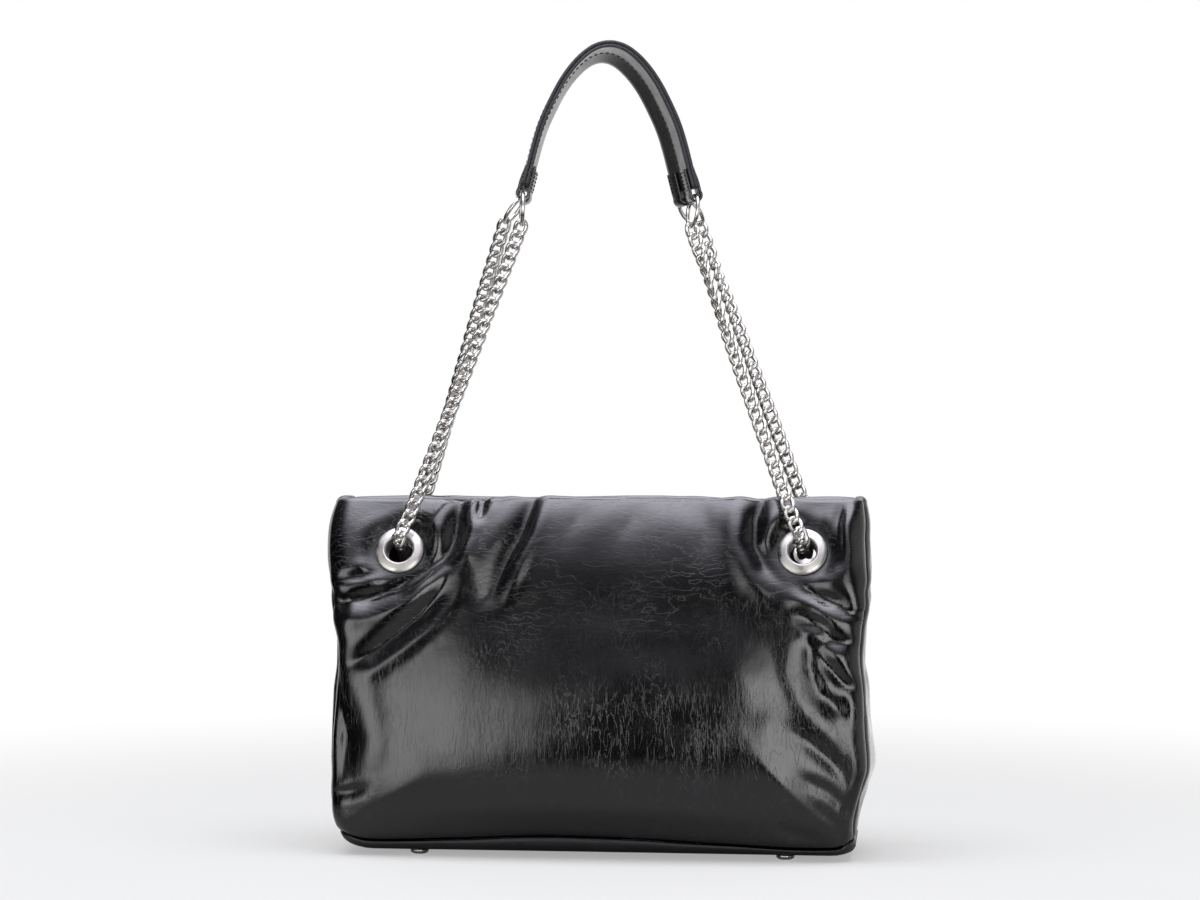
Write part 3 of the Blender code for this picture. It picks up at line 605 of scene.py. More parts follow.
def crackled_leather(name):
    """Black waxed leather: a soft gloss over fine crackle, upright low down, level higher up."""
    made = Nodes(bpy.data.materials.new(name))
    upright = made.warped(made.stretched((1.0, 1.0, 0.24), (0.0, 0.10, 0.0)), 70.0, 0.003)
    level = made.warped(made.stretched((0.40, 1.0, 1.0), (0.0, 0.28, 0.0)), 60.0, 0.004)
    height = made.add("SeparateXYZ", {0: made.place}).outputs["Z"]
    uneven = made.math("MULTIPLY", made.math("SUBTRACT", made.noise(18.0, 2.0), 0.5), 0.09)
    high = made.ramp(made.math("ADD", height, uneven), 0.10, 0.155)
    low = made.math("SUBTRACT", 1.0, high)
    patches = made.ramp(made.noise(15.0, 2.0), 0.34, 0.66)
    other = made.ramp(made.noise(23.0, 2.0, made.stretched((1.3, 1.0, 1.0))), 0.36, 0.66)
    low_lines = made.weighed(made.creases(150.0, upright, 0.016), patches,
                             made.creases(330.0, upright, 0.022), other)
    high_lines = made.weighed(made.creases(85.0, level, 0.010), other,
                              made.creases(240.0, level, 0.016), patches)
    lines = made.weighed(low_lines, low, high_lines, high)
    crackle = made.weighed(made.noise(560.0, 3.0, upright, 0.6), low,
                           made.noise(460.0, 3.0, level, 0.6), high)
    crinkled = made.weighed(made.ridges(300.0, upright), low, made.ridges(240.0, level), high)
    made.bumps((made.noise(95.0, 2.0), 0.00009), (crinkled, 0.000022), (crackle, 0.00004),
               (made.noise(1500.0, 2.0, rough=0.6), 0.00003), (lines, -0.00005))
    made.colours(made.math("MULTIPLY", lines, 0.8), (0.0016, 0.0016, 0.0021), (0.016, 0.0155, 0.017))
    made.put(Roughness=made.ramp(made.noise(33.0), 0.35, 0.68, 0.14, 0.20), Specular_IOR_Level=0.5,
             Coat_Weight=0.45, Coat_Roughness=0.09)
    return made.owner


def smooth_leather(name, rough, grain_scale=900.0, coat=0.15):
    colour = (0.006, 0.006, 0.0075)
    made = Nodes(bpy.data.materials.new(name))
    wide = made.noise(grain_scale / 9)
    made.bumps((wide, 0.00015), (made.noise(grain_scale, rough=0.6), 0.00009))
    made.colours(wide, scaled(colour, 0.7), scaled(colour, 1.4))
    made.put(Roughness=made.ramp(wide, 0.3, 0.7, rough - 0.06, rough + 0.08), Specular_IOR_Level=0.5,
             Coat_Weight=coat, Coat_Roughness=0.14)
    return made.owner


def edge_paint(name):
    made = Nodes(bpy.data.materials.new(name))
    worn = made.noise(420.0)
    made.bumps((worn, 0.0001))
    made.colours(worn, (0.022, 0.022, 0.026), (0.05, 0.05, 0.056))
    made.put(Roughness=made.ramp(worn, 0.3, 0.7, 0.5, 0.7))
    return made.owner


def woven_cloth(name, colour):
    made = Nodes(bpy.data.materials.new(name))
    warp, weft = (made.wave(420.0, direction, Distortion=1.2, Detail=1.0) for direction in "XZ")
    weave = made.math("MULTIPLY", warp, weft)
    made.bumps((weave, 0.00025))
    made.colours(weave, scaled(colour, 0.6), colour)
    made.put(Roughness=0.85, Sheen_Weight=0.25, Sheen_Roughness=0.5)
    return made.owner


def plated_metal(name, rough, colour):
    made = Nodes(bpy.data.materials.new(name))
    haze = made.noise(150.0, 4.0, rough=0.6)
    made.bumps((made.noise(600.0, 2.0, made.stretched((1.0, 6.0, 1.0), (0.4, 0.2, 0.6))), 0.00001))
    made.colours(haze, scaled(colour, 0.9), colour)
    made.put(Roughness=made.ramp(haze, 0.3, 0.7, rough * 0.7, rough * 1.4), Metallic=1.0)
    return made.owner


def sewing_thread(name, colour):
    made = Nodes(bpy.data.materials.new(name))
    twist = made.wave(900.0, "DIAGONAL")
    made.bumps((twist, 0.0001))
    made.colours(twist, scaled(colour, 0.5), colour)
    made.put(Roughness=0.6)
    return made.owner


# Mesh helpers

def add_piece(mesh, look, body, *replaced):
    """A piece named as its mesh, with its material, its body and the nodes it stands for."""
    material, slot = look
    piece = bpy.data.objects.new(mesh.name, mesh)
    bpy.context.scene.collection.objects.link(piece)
    mesh.materials.append(material)
    for face in mesh.polygons:
        face.use_smooth = True
    if replaced:
        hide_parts(*replaced)
    if body:
        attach(piece, body)
    return piece


def finish_mesh(work, name):
    bmesh.ops.recalc_face_normals(work, faces=work.faces[:])
    if work.calc_volume(signed=True) < 0:
        bmesh.ops.reverse_faces(work, faces=work.faces[:])
    mesh = bpy.data.meshes.new(name)
    work.to_mesh(mesh)
    work.free()
    return mesh


def slab(name, grid, gaps=()):
    """A closed sheet from a grid of pairs of an outer and an inner point, without the cells in gaps."""
    rows, columns = len(grid), len(grid[0])
    work = bmesh.new()
    layers = [[[work.verts.new(pair[face]) for pair in line] for line in grid] for face in (0, 1)]
    cells = {(r, c) for r in range(rows - 1) for c in range(columns - 1)} - set(gaps)
    for r, c in cells:
        for layer, flip in zip(layers, (False, True)):
            corners = [layer[r][c], layer[r][c + 1], layer[r + 1][c + 1], layer[r + 1][c]]
            work.faces.new(reversed(corners) if flip else corners)
        sides = (((r, c), (r, c + 1), (r - 1, c)), ((r, c + 1), (r + 1, c + 1), (r, c + 1)),
                 ((r + 1, c + 1), (r + 1, c), (r + 1, c)), ((r + 1, c), (r, c), (r, c - 1)))
        for first, second, beyond in sides:
            if beyond not in cells:
                a, b = (layers[0][i][j] for i, j in (second, first))
                d, e = (layers[1][i][j] for i, j in (first, second))
                work.faces.new((a, b, d, e))
    loose = [vert for vert in work.verts if not vert.link_faces]
    bmesh.ops.delete(work, geom=loose, context="VERTS")
    return finish_mesh(work, name)


def circle(centre, first, second, radius, steps):
    """Points round a circle, from the first direction toward the second."""
    turns = [math.tau * step / steps for step in range(steps)]
    return [centre + (first * math.cos(turn) + second * math.sin(turn)) * radius for turn in turns]


def add_tube(work, rings, loop=False):
    """A closed solid through rings of equal count. A loop's last ring joins its first."""
    rows = [[work.verts.new(point) for point in ring] for ring in rings]
    for lower, upper in list(zip(rows, rows[1:])) + [(rows[-1], rows[0])] * loop:
        for index in range(len(lower)):
            after = (index + 1) % len(lower)
            work.faces.new((lower[index], lower[after], upper[after], upper[index]))
    if not loop:
        work.faces.new(rows[0])
        work.faces.new(rows[-1])


def tube(name, rings):
    work = bmesh.new()
    add_tube(work, rings)
    return finish_mesh(work, name)


def lathe(name, profile, place, segments):
    """Turn an outline of (radius, height) about the place's Z axis. It is closed, or starts and
    ends at radius 0, where the points are joined to one."""
    work = bmesh.new()
    rings = []
    for radius, height in profile:
        ring = circle(Vector((0, 0, height)), ALONG_BAG, ACROSS_BAG, radius, segments if radius else 1)
        rings.append([work.verts.new(place @ point) for point in ring])
    whole = profile[0][0] != 0
    for lower, upper in list(zip(rings, rings[1:])) + [(rings[-1], rings[0])] * whole:
        for step in range(segments):
            after = (step + 1) % segments
            corners = [ring[index % len(ring)] for ring, index in
                       ((lower, step), (lower, after), (upper, after), (upper, step))]
            unique = list(dict.fromkeys(corners))
            if len(unique) > 2:
                work.faces.new(unique)
    return finish_mesh(work, name)


def round_profile(corners, radius, steps):
    """Corners of an outline, each rounded by up to the radius."""
    made = []
    for index, corner in enumerate(corners):
        here = Vector(corner)
        before = Vector(corners[index - 1]) - here
        after = Vector(corners[(index + 1) % len(corners)]) - here
        if corner[0] == 0:
            made.append(corner)
            continue
        reach = min(radius, before.length * 0.45, after.length * 0.45)
        first, last = here + before.normalized() * reach, here + after.normalized() * reach
        for step in range(steps + 1):
            t = step / steps
            made.append(first * (1 - t) ** 2 + here * 2 * t * (1 - t) + last * t ** 2)
    return made


def place_on(point, axis, across=ALONG_BAG):
    axis = axis.normalized()
    right = (across - axis * across.dot(axis)).normalized()
    return Matrix.Translation(point) @ Matrix((right, axis.cross(right), axis)).transposed().to_4x4()


# A stitch's rings: share of the way along it, and the rise and radius in shares of the thread's
STITCH_RINGS = ((0.08, -0.9, 0.4), (0.2, 0.15, 0.85), (0.5, 0.7, 1.0), (0.8, 0.15, 0.85), (0.92, -0.9, 0.4))
STITCH_SIDES = 6


def stitches(name, points, normals, look, pitch, thread):
    """A row of sewn stitches on the strap that follows points laid on a surface."""
    work = bmesh.new()
    lengths = running_lengths(points)

    def at(distance):
        index = max(i for i in range(len(lengths) - 1) if lengths[i] <= distance + 1e-9)
        share = (distance - lengths[index]) / (lengths[index + 1] - lengths[index])
        return points[index].lerp(points[index + 1], share), normals[index].lerp(normals[index + 1], share)

    for number in range(int(lengths[-1] / pitch)):
        rings = []
        for share, rise, size in STITCH_RINGS:
            here = (number + share) * pitch
            point, normal = at(min(lengths[-1], here))
            ahead = at(min(lengths[-1], here + 0.2 * pitch))[0] - point
            if ahead.length < 1e-7:
                ahead = point - at(here - 0.2 * pitch)[0]
            across = ahead.cross(normal).normalized()
            lift = across.cross(ahead).normalized()
            lift = lift if lift.dot(normal) > 0 else -lift
            rings.append(circle(point + normal * thread * rise, across, lift, thread * size, STITCH_SIDES))
        add_tube(work, rings)
    return add_piece(finish_mesh(work, name), look, "strap")


# Folds of the leather

# Pixels of the photograph along each fold of the front, half width and depth in millimetres, and
# the share of the half width that the fold has on the left of its line. The other side has its
# inverse. A negative depth is a ridge.
FRONT_FOLDS = [
    ([(462, 496), (459, 512), (456, 535), (446, 556)], 5.4, 3.4, 1.0),
    ([(458, 526), (452, 548), (443, 558), (428, 570), (397, 586), (365, 598), (335, 604)], 5.4, 5.0, 1.0),
    ([(474, 530), (466, 556), (445, 579), (409, 600), (379, 615), (349, 630)], 6.5, -1.2, 1.0),
    ([(455, 568), (440, 590), (421, 614), (397, 634), (373, 652), (352, 664)], 4.8, 4.0, 1.0),
    ([(536, 494), (532, 508), (523, 533), (507, 560), (490, 596)], 5.4, 4.0, 0.8),
    ([(484, 494), (482, 508), (479, 520)], 2.8, 2.8, 1.0),
    ([(346, 580), (362, 577), (382, 572)], 3.0, 2.6, 1.0),
    ([(336, 590), (348, 606), (342, 628)], 2.6, 1.4, 1.0),
    ([(334, 796), (348, 793), (366, 786)], 3.0, 1.5, 1.0),
    ([(340, 828), (375, 802), (420, 778)], 8.0, -1.2, 1.0),
    ([(335, 655), (337, 700), (345, 735), (341, 795)], 9.0, 4.6, 1.0),
    ([(764, 498), (756, 520), (755, 545), (766, 566), (784, 584)], 5.8, 4.6, 1.0),
    ([(789, 575), (806, 588), (824, 599), (852, 609)], 4.3, 3.3, 1.0),
    ([(812, 552), (826, 566), (846, 580)], 6.0, -1.2, 1.0),
    ([(798, 600), (815, 606), (832, 622), (838, 634)], 4.0, -1.5, 1.0),
    ([(804, 616), (822, 626), (838, 642)], 4.2, 1.8, 1.0),
    ([(818, 648), (828, 664), (843, 681), (862, 694)], 4.3, 3.0, 0.8),
    ([(816, 648), (830, 641), (846, 642), (864, 652)], 3.6, 1.6, 1.0),
    ([(840, 610), (852, 616), (866, 614)], 2.0, 2.2, 1.0),
    ([(808, 634), (810, 668), (820, 692), (838, 710)], 6.0, 2.2, 1.0),
    ([(786, 732), (808, 742), (830, 760), (854, 792)], 6.0, 1.8, 1.0),
    ([(800, 774), (826, 788), (856, 812)], 4.6, 1.6, 1.0),
    ([(800, 790), (826, 810), (852, 834)], 5.0, 1.2, 1.0),
    ([(750, 752), (795, 795), (848, 842)], 8.0, -1.6, 1.0),
    ([(775, 822), (812, 834), (850, 846)], 4.5, 1.1, 1.0),
    ([(856, 795), (853, 815), (848, 842)], 2.6, 1.4, 1.0),
    ([(856, 512), (849, 530), (853, 556), (846, 580)], 3.4, -1.6, 1.0),
    ([(842, 505), (838, 525), (843, 548)], 3.2, 1.3, 1.0),
    ([(640, 498), (634, 520), (620, 540)], 7.0, 0.8, 1.0),
    ([(700, 500), (708, 530), (704, 560)], 7.0, 1.0, 1.0),
    ([(585, 498), (580, 520), (566, 540)], 6.0, 0.7, 1.0),
]
# A dimple of the front: pixel, radius and depth in millimetres
FRONT_DIMPLES = [((838, 704), 7.0, 2.0), ((470, 650), 18.0, -1.0), ((740, 674), 21.0, -1.25),
                 ((385, 512), 12.0, 2.0), ((818, 514), 12.0, 2.8)]
# Folds of the rear, as x and height in millimetres, half width and depth
REAR_FOLDS = [
    ([(-100, 196), (-92, 178), (-104, 158), (-128, 146), (-150, 143)], 4.5, 2.2),
    ([(-86, 160), (-104, 142), (-128, 124)], 5.0, 1.8),
    ([(98, 198), (90, 180), (98, 160), (120, 148), (150, 142)], 4.5, 2.2),
    ([(88, 150), (106, 134), (132, 120)], 5.0, 1.8),
    ([(-30, 198), (-36, 184), (-48, 170)], 5.0, 1.2),
    ([(40, 198), (46, 186), (52, 170)], 5.0, 1.2),
    ([(-150, 60), (-128, 52), (-110, 36)], 4.5, 1.5),
    ([(148, 56), (128, 50), (112, 34)], 4.5, 1.5),
    ([(140, 100), (122, 92)], 4.5, 1.3),
]
# Folds of an end, as distance from its middle and height in millimetres, half width and depth
END_FOLDS = [
    ([(0, 198), (1, 176), (-2, 150), (1, 126)], 7.0, 3.0),
    ([(-24, 158), (-10, 140), (4, 132)], 4.5, 1.6),
    ([(26, 150), (14, 134), (6, 116)], 4.5, 1.5),
    ([(-34, 108), (-18, 98), (-4, 100)], 5.0, 1.4),
    ([(32, 90), (16, 80), (2, 82)], 5.0, 1.3),
    ([(-30, 46), (-14, 36), (2, 38)], 5.5, 1.4),
    ([(34, 40), (20, 30), (6, 20)], 4.5, 1.3),
]
# How far the base's seam and the mouth's edge wave up and down, by X
SEAM_WAVE = in_mm((-160, 0.0), (-130, -0.9), (-80, 0.5), (-30, 2.6), (20, 1.6), (70, -0.5), (110, -2.2),
                  (140, -1.6), (160, 0.0))
TOP_WAVE = in_mm((-155, -0.4), (-130, 0.6), (-105, 0.0), (-90, -1.0), (-70, -0.6), (-55, 0.4), (-35, 1.0),
                 (0, 0.6), (40, -0.2), (70, 0.3), (100, 0.8), (130, 0.5), (155, -0.2))
# How much fuller than the plain solid the stuffed front and rear are, by height
SAG = in_mm((9, 0.0), (20, 1.8), (32, 4.9), (45, 5.6), (60, 3.4), (80, -0.4), (110, -1.5), (135, -0.8),
            (150, 0.0))
PILLOW = 12 * MM
PILLOW_HALF = 140 * MM
# Sideways drift of the soft ends, by height
DRIFT = {"left": in_mm((3, 1.5), (9, 0.5), (19, -1.7), (31, -2.2), (53, -1.7), (90, -1.2), (121, -2.4),
                       (133, -4.6), (145, -5.8), (155, -5.0), (167, -4.2), (178, -4.2), (190, -4.6),
                       (206, -4.6)),
         "right": in_mm((3, -5.0), (9, -7.4), (19, -8.0), (31, -6.2), (42, -3.4), (53, -0.6), (76, -1.7),
                        (99, -1.4), (112, -1.3), (122, 0.0), (133, 1.1), (144, 2.6), (155, 1.2),
                        (167, -2.4), (179, -4.0), (190, -3.0), (206, -1.5))}
# How far the base's ends curl up
END_LIFT = {"left": 4.2 * MM, "right": 3.2 * MM}
# Distances from the middle at which the drift and the curl start and are full, and the curl's heights
DRIFT_SPAN = (128 * MM, 152 * MM)
CURL_SPAN = (130 * MM, 154 * MM)
CURL_HEIGHTS = (50 * MM, 8 * MM)
# How far the two waves reach from the seam and from the mouth
SEAM_WAVE_REACH = 60 * MM
TOP_WAVE_REACH = 50 * MM
# The puff beside the seams and how far it takes to rise, and how wide the drawn-in seam is
PUFF = 1.5 * MM
PUFF_REACH = 7 * MM
SEAM_REACH = 2.6 * MM
# The share of folds and puckers that is left at a seam, and how far they take to come back
SEAM_SHARE = 0.3
FOLD_REACH = 5 * MM
# The band round an eyelet over which the leather flattens, and how far it is pressed in there
EYELET_BAND = 11 * MM
EYELET_PRESS = 0.25 * MM
# The swell under the mouth: its height, its reach above and below, and how far it stands out
SWELL_HEIGHT = 181 * MM
SWELL_ABOVE = 18 * MM
SWELL_START = 120 * MM
SWELL = 2.5 * MM
# The soft bend at the knee: half its height, and its relief at the middle in shares of that
KNEE_BEND = 28 * MM
KNEE_DRAW = -0.095
# The roll over the mouth and the tuck below it, in rows, and a tuck row's height
ROLL_ROWS = 10
TUCK_ROWS = 2
TUCK_STEP = 2.5 * MM
# How deep the relief may dip in the roll, and the share of it that the roll keeps
ROLL_DIP = -0.8 * MM
ROLL_SWELL = 0.9
# Where the leather and the facing end round an eyelet
LEATHER_HOLE = 9.6 * MM
FACING_HOLE = 9.8 * MM
# How near a side's seam the waves start to fade
SEAM_FADE = 12 * MM
# The base: how far its flat middle starts from the seam, and how its soft edge is drawn in there
BASE_FLAT_INSET = BASE_EDGE_RADIUS * 2.6
BASE_DRAW_IN = 0.9 * MM
BASE_EDGE_DROP = 0.4 * MM
BASE_RIPPLE = 0.25 * MM
BASE_CLOTH_TOP = 9.1 * MM
BASE_CLOTH = 0.8 * MM
BASE_CLOTH_RIPPLE = 0.5 * MM


def fullness(x, z):
    """How far the stuffed leather stands out from the plain solid's front or rear."""
    t = min(1.0, abs(x) / PILLOW_HALF)
    rise = min(1.0, max(0.0, (z - SEAM_HEIGHT) / (KNEE_HEIGHT - SEAM_HEIGHT)))
    pillow = (PILLOW * (1 - t ** 2) - CROWN * (1 - t ** 4) ** 3) * math.sin(math.pi * rise) ** 2
    return pillow + curve_value(SAG, z) * (1 - t ** 4)


def drifted(point):
    """A point of the bag's skin, moved with the soft end that it is near."""
    end = "right" if point.x > 0 else "left"
    shift = curve_value(DRIFT[end], point.z) * smooth(*DRIFT_SPAN, abs(point.x))
    rise = END_LIFT[end] * smooth(*CURL_SPAN, abs(point.x)) * smooth(*CURL_HEIGHTS, point.z)
    return point + Vector((shift, 0, rise))


def seam_wave(side, x):
    return curve_value(SEAM_WAVE, x) * (1 if side == "front" else -0.4)


def wave_shift(side, point, edge):
    """How far the waves of the seam and of the mouth lift a place on a side."""
    if side not in LONG_SIDES:
        return Vector()
    low = smooth(SEAM_WAVE_REACH, 0.0, point.z - SEAM_HEIGHT)
    high = smooth(TOP_WAVE_REACH, 0.0, MOUTH_HEIGHT - point.z)
    top = curve_value(TOP_WAVE, point.x if side == "front" else -point.x)
    return Vector((0, 0, smooth(0.0, SEAM_FADE, edge) * (seam_wave(side, point.x) * low + top * high)))


def front_folds():
    folds = [([on_front(*pixel) for pixel in line], half * MM, depth * MM, skew)
             for line, half, depth, skew in FRONT_FOLDS]
    return folds, [(on_front(*pixel), radius * MM, depth * MM) for pixel, radius, depth in FRONT_DIMPLES]


def plain_folds(table, mirrored=1):
    folds = [([(mirrored * x * MM, z * MM) for x, z in line], half * MM, depth * MM, 1.0)
             for line, half, depth in table]
    return folds, []


# Along a fold its depth follows a stretch of a half sine, raised to a power
FOLD_START = 0.07
FOLD_SPAN = 0.86
FOLD_TAPER = 0.8
# Across a fold, in half widths: its valley's peak, slope and rounding, its shoulders' rise and place
VALLEY_PEAK = 0.48
VALLEY_SLOPE = 1.6
VALLEY_ROUND = 0.09
SHOULDER_RISE = 0.33
SHOULDER_PLACE = 1.9


def fold_relief(folds, dimples, x, z):
    """Sum of the folds and dimples at arrays of places. A fold is a valley between two soft shoulders."""
    total = np.zeros_like(x)
    for line, half, depth, skew in folds:
        best = np.full_like(x, 1e9)
        wide = np.full_like(x, half)
        way = np.zeros_like(x)
        lengths = [math.dist(a, b) for a, b in zip(line, line[1:])]
        passed = 0.0
        for (ax, az), (bx, bz), length in zip(line, line[1:], lengths):
            run, rise = bx - ax, bz - az
            t = np.clip(((x - ax) * run + (z - az) * rise) / length ** 2, 0, 1)
            gap = np.hypot(x - ax - t * run, z - az - t * rise)
            nearer = gap < best
            best = np.where(nearer, gap, best)
            way = np.where(nearer, (passed + t * length) / sum(lengths), way)
            turned = run * (z - az) - rise * (x - ax)
            wide = np.where(nearer, half * np.where(turned > 0, skew, 1 / skew), wide)
            passed += length
        taper = np.clip(np.sin(np.pi * np.clip(way * FOLD_SPAN + FOLD_START, 0, 1)), 0, 1) ** FOLD_TAPER
        reach = best / wide
        valley = np.exp(VALLEY_PEAK - VALLEY_SLOPE * np.sqrt(reach ** 2 + VALLEY_ROUND))
        total -= depth * taper * (valley - SHOULDER_RISE * np.exp(-(reach - SHOULDER_PLACE) ** 2))
    for (px, pz), radius, depth in dimples:
        total -= depth * np.exp(-((x - px) ** 2 + (z - pz) ** 2) / radius ** 2)
    return total


# Noise of the puffed leather: cells per metre along and up, and height in millimetres
BROAD_PUFFS = (15, 19, 0.62)
MIDDLE_PUFFS = (44, 36, 0.24)
WRINKLES = (150, 62, 0.04)
# How the wrinkles' lines bend: cells per metre, and how far in cells of the wrinkles
WRINKLE_BEND = (35, 35, 0.6)


def noise_at(x, y, cells, seed, shift=0.0):
    """Smooth noise at a place, with so many cells per metre each way."""
    return noise.noise(Vector((x * cells[0] + shift, y * cells[1] + shift, seed)))


def puckers(x, z, seed):
    """Uneven puffiness and small wrinkles, in metres."""
    broad = noise_at(x, z, BROAD_PUFFS, seed)
    middle = noise_at(x, z, MIDDLE_PUFFS, seed + 7)
    bend = WRINKLE_BEND[2] * noise_at(x, z, WRINKLE_BEND, seed + 3)
    small = 1 - abs(noise_at(x, z, WRINKLES, seed + 11, bend)) * 2
    return (BROAD_PUFFS[2] * broad + MIDDLE_PUFFS[2] * middle + WRINKLES[2] * small) * MM


def top_fullness(z):
    """The stuffed wall bends gently at the knee, swells just under the mouth and rounds over it."""
    if z >= SWELL_HEIGHT:
        return SWELL * (1 - ((z - SWELL_HEIGHT) / SWELL_ABOVE) ** 2)
    knee = KNEE_DRAW / KNEE_BEND * max(0.0, KNEE_BEND - abs(z - KNEE_HEIGHT)) ** 2
    return SWELL * smooth(SWELL_START, SWELL_HEIGHT, z) + knee


def wall_relief(side, folds, spots, seed):
    """Relief of a leather wall at (along distance, height, distance from a seam) spots."""
    x, z, edge = (np.array(values) for values in zip(*spots))
    relief = fold_relief(*folds, x, z) + np.array([puckers(a, b, seed) for a, b in zip(x, z)])
    if side in LONG_SIDES:
        relief += np.array([fullness(a, b) for a, b in zip(x, z)])
    near = np.minimum(edge, np.maximum(z - SEAM_HEIGHT, 0) * 1.3)
    relief *= SEAM_SHARE + (1 - SEAM_SHARE) * (1 - np.exp(-near / FOLD_REACH))
    relief += PUFF * (1 - np.exp(-near / PUFF_REACH) - np.exp(-(near / SEAM_REACH) ** 2))
    relief += np.array([top_fullness(each) for each in z])
    if side in LONG_SIDES:
        for end in ENDS.values():
            reach = np.hypot(x - end * EYELET_X, (z - EYELET_HEIGHT) * 1.08)
            t = np.clip((reach - EYELET_RADIUS) / EYELET_BAND, 0, 1)
            t = t * t * (3 - 2 * t)
            relief = relief * t - EYELET_PRESS * (1 - t)
    return relief


def make_wall(side, look, folds, seed, cell, *replaced):
    """The outer leather of one side: it rolls over the mouth and ends behind the facing."""
    rows = round((MOUTH_HEIGHT - SEAM_HEIGHT) / cell)
    columns = round(2 * skin_reach(side, SEAM_HEIGHT) / cell)
    places, spots, gaps = [], [], []
    for row in range(rows + 1):
        height = mix(SEAM_HEIGHT + GAP / 2, MOUTH_HEIGHT, row / rows)
        reach = skin_reach(side, height)
        for column in range(columns + 1):
            travel = mix(-1, 1, column / columns) * (reach - GAP / 2)
            places.append(wall_frame(side, travel / side_reach(side, height)[1], height))
            spots.append((travel, height, reach - abs(travel)))
            middle = (travel + cell / 2, height + cell / 2)
            if side in LONG_SIDES and eyelet_distance(*middle) < LEATHER_HOLE:
                gaps.append((row, column))
    relief = wall_relief(side, folds, spots, seed)
    skin = [(*place, lift, wave_shift(side, place[0], spot[2]))
            for place, lift, spot in zip(places, relief, spots)]
    grid = []
    for start in range(0, len(skin), columns + 1):
        line = [(drifted(point + normal * lift + shift), normal)
                for point, normal, up, lift, shift in skin[start:start + columns + 1]]
        grid.append([(spot, spot - normal * LEATHER) for spot, normal in line])
    for step in range(1, ROLL_ROWS + TUCK_ROWS + 1):
        angle = math.pi * min(1.0, step / ROLL_ROWS)
        down = max(0, step - ROLL_ROWS) * TUCK_STEP
        line = []
        for point, normal, up, lift, shift in skin[-columns - 1:]:
            outward = normal * math.cos(angle) + up * math.sin(angle)
            swell = max(ROLL_DIP, lift) * (0.5 + 0.5 * math.cos(angle)) * ROLL_SWELL
            centre = point - normal * ROLL_RADIUS + shift - up * down
            line.append([drifted(centre + outward * (ROLL_RADIUS + swell - sunk)) for sunk in (0, LEATHER)])
        grid.append(line)
    piece = add_piece(slab(f"{side}_leather", grid, gaps), look, "bag", *replaced)


# Cells of noise per metre in the linings along and up, in the base and in its cloth
CLOTH_WAVES = (38, 11)
BASE_WAVES = (40, 40)
BASE_CLOTH_WAVES = (25, 25)


def make_inner(side, name, bottom, top, look, ripple, replaced):
    """A sheet on the wall's inner face: the facing or the lining of one side."""
    cell = 4 * MM
    rows = max(3, round((top - bottom) / cell))
    columns = round(2 * side_reach(side, SEAM_HEIGHT)[1] / cell)
    depth = LEATHER + PADDING + 2 * GAP
    grid, gaps = [], []
    for row in range(rows + 1):
        height = mix(bottom, top, row / rows)
        reach = side_reach(side, height)[1]
        line = []
        for column in range(columns + 1):
            along = mix(-1, 1, column / columns) * (1 - GAP / reach)
            point, normal = wall_frame(side, along, height)[:2]
            wave = noise_at(along * reach, height, CLOTH_WAVES, len(name) + ord(side[0]))
            wave = ripple * (wave - 0.4)
            spot = drifted(point - normal * (depth - wave * 0.4))
            line.append((spot, spot - normal * (LINING + wave * 0.2)))
            middle = (mix(-1, 1, (column + 0.5) / columns) * reach, height + (top - bottom) / rows / 2)
            if side in LONG_SIDES and eyelet_distance(*middle) < FACING_HOLE:
                gaps.append((row, column))
        grid.append(line)
    return add_piece(slab(name, grid, gaps), look, "bag", replaced)


def base_outline(inset):
    """The base seam's outline going round the bag, drawn in by inset, with its lift by the wave."""
    ring = []
    for side, direction, count in (("front", 1, 60), ("right", 1, 20), ("rear", -1, 60), ("left", -1, 20)):
        for step in range(count):
            along = mix(-1, 1, step / count) * direction
            point, normal = wall_frame(side, along, SEAM_HEIGHT)[:2]
            normal.z = 0
            ends = smooth(0.0, SEAM_FADE, (1 - abs(along)) * side_reach(side, SEAM_HEIGHT)[1])
            lift = seam_wave(side, point.x) * ends if side in LONG_SIDES else 0.0
            ring.append((point - normal.normalized() * inset, lift))
    return ring


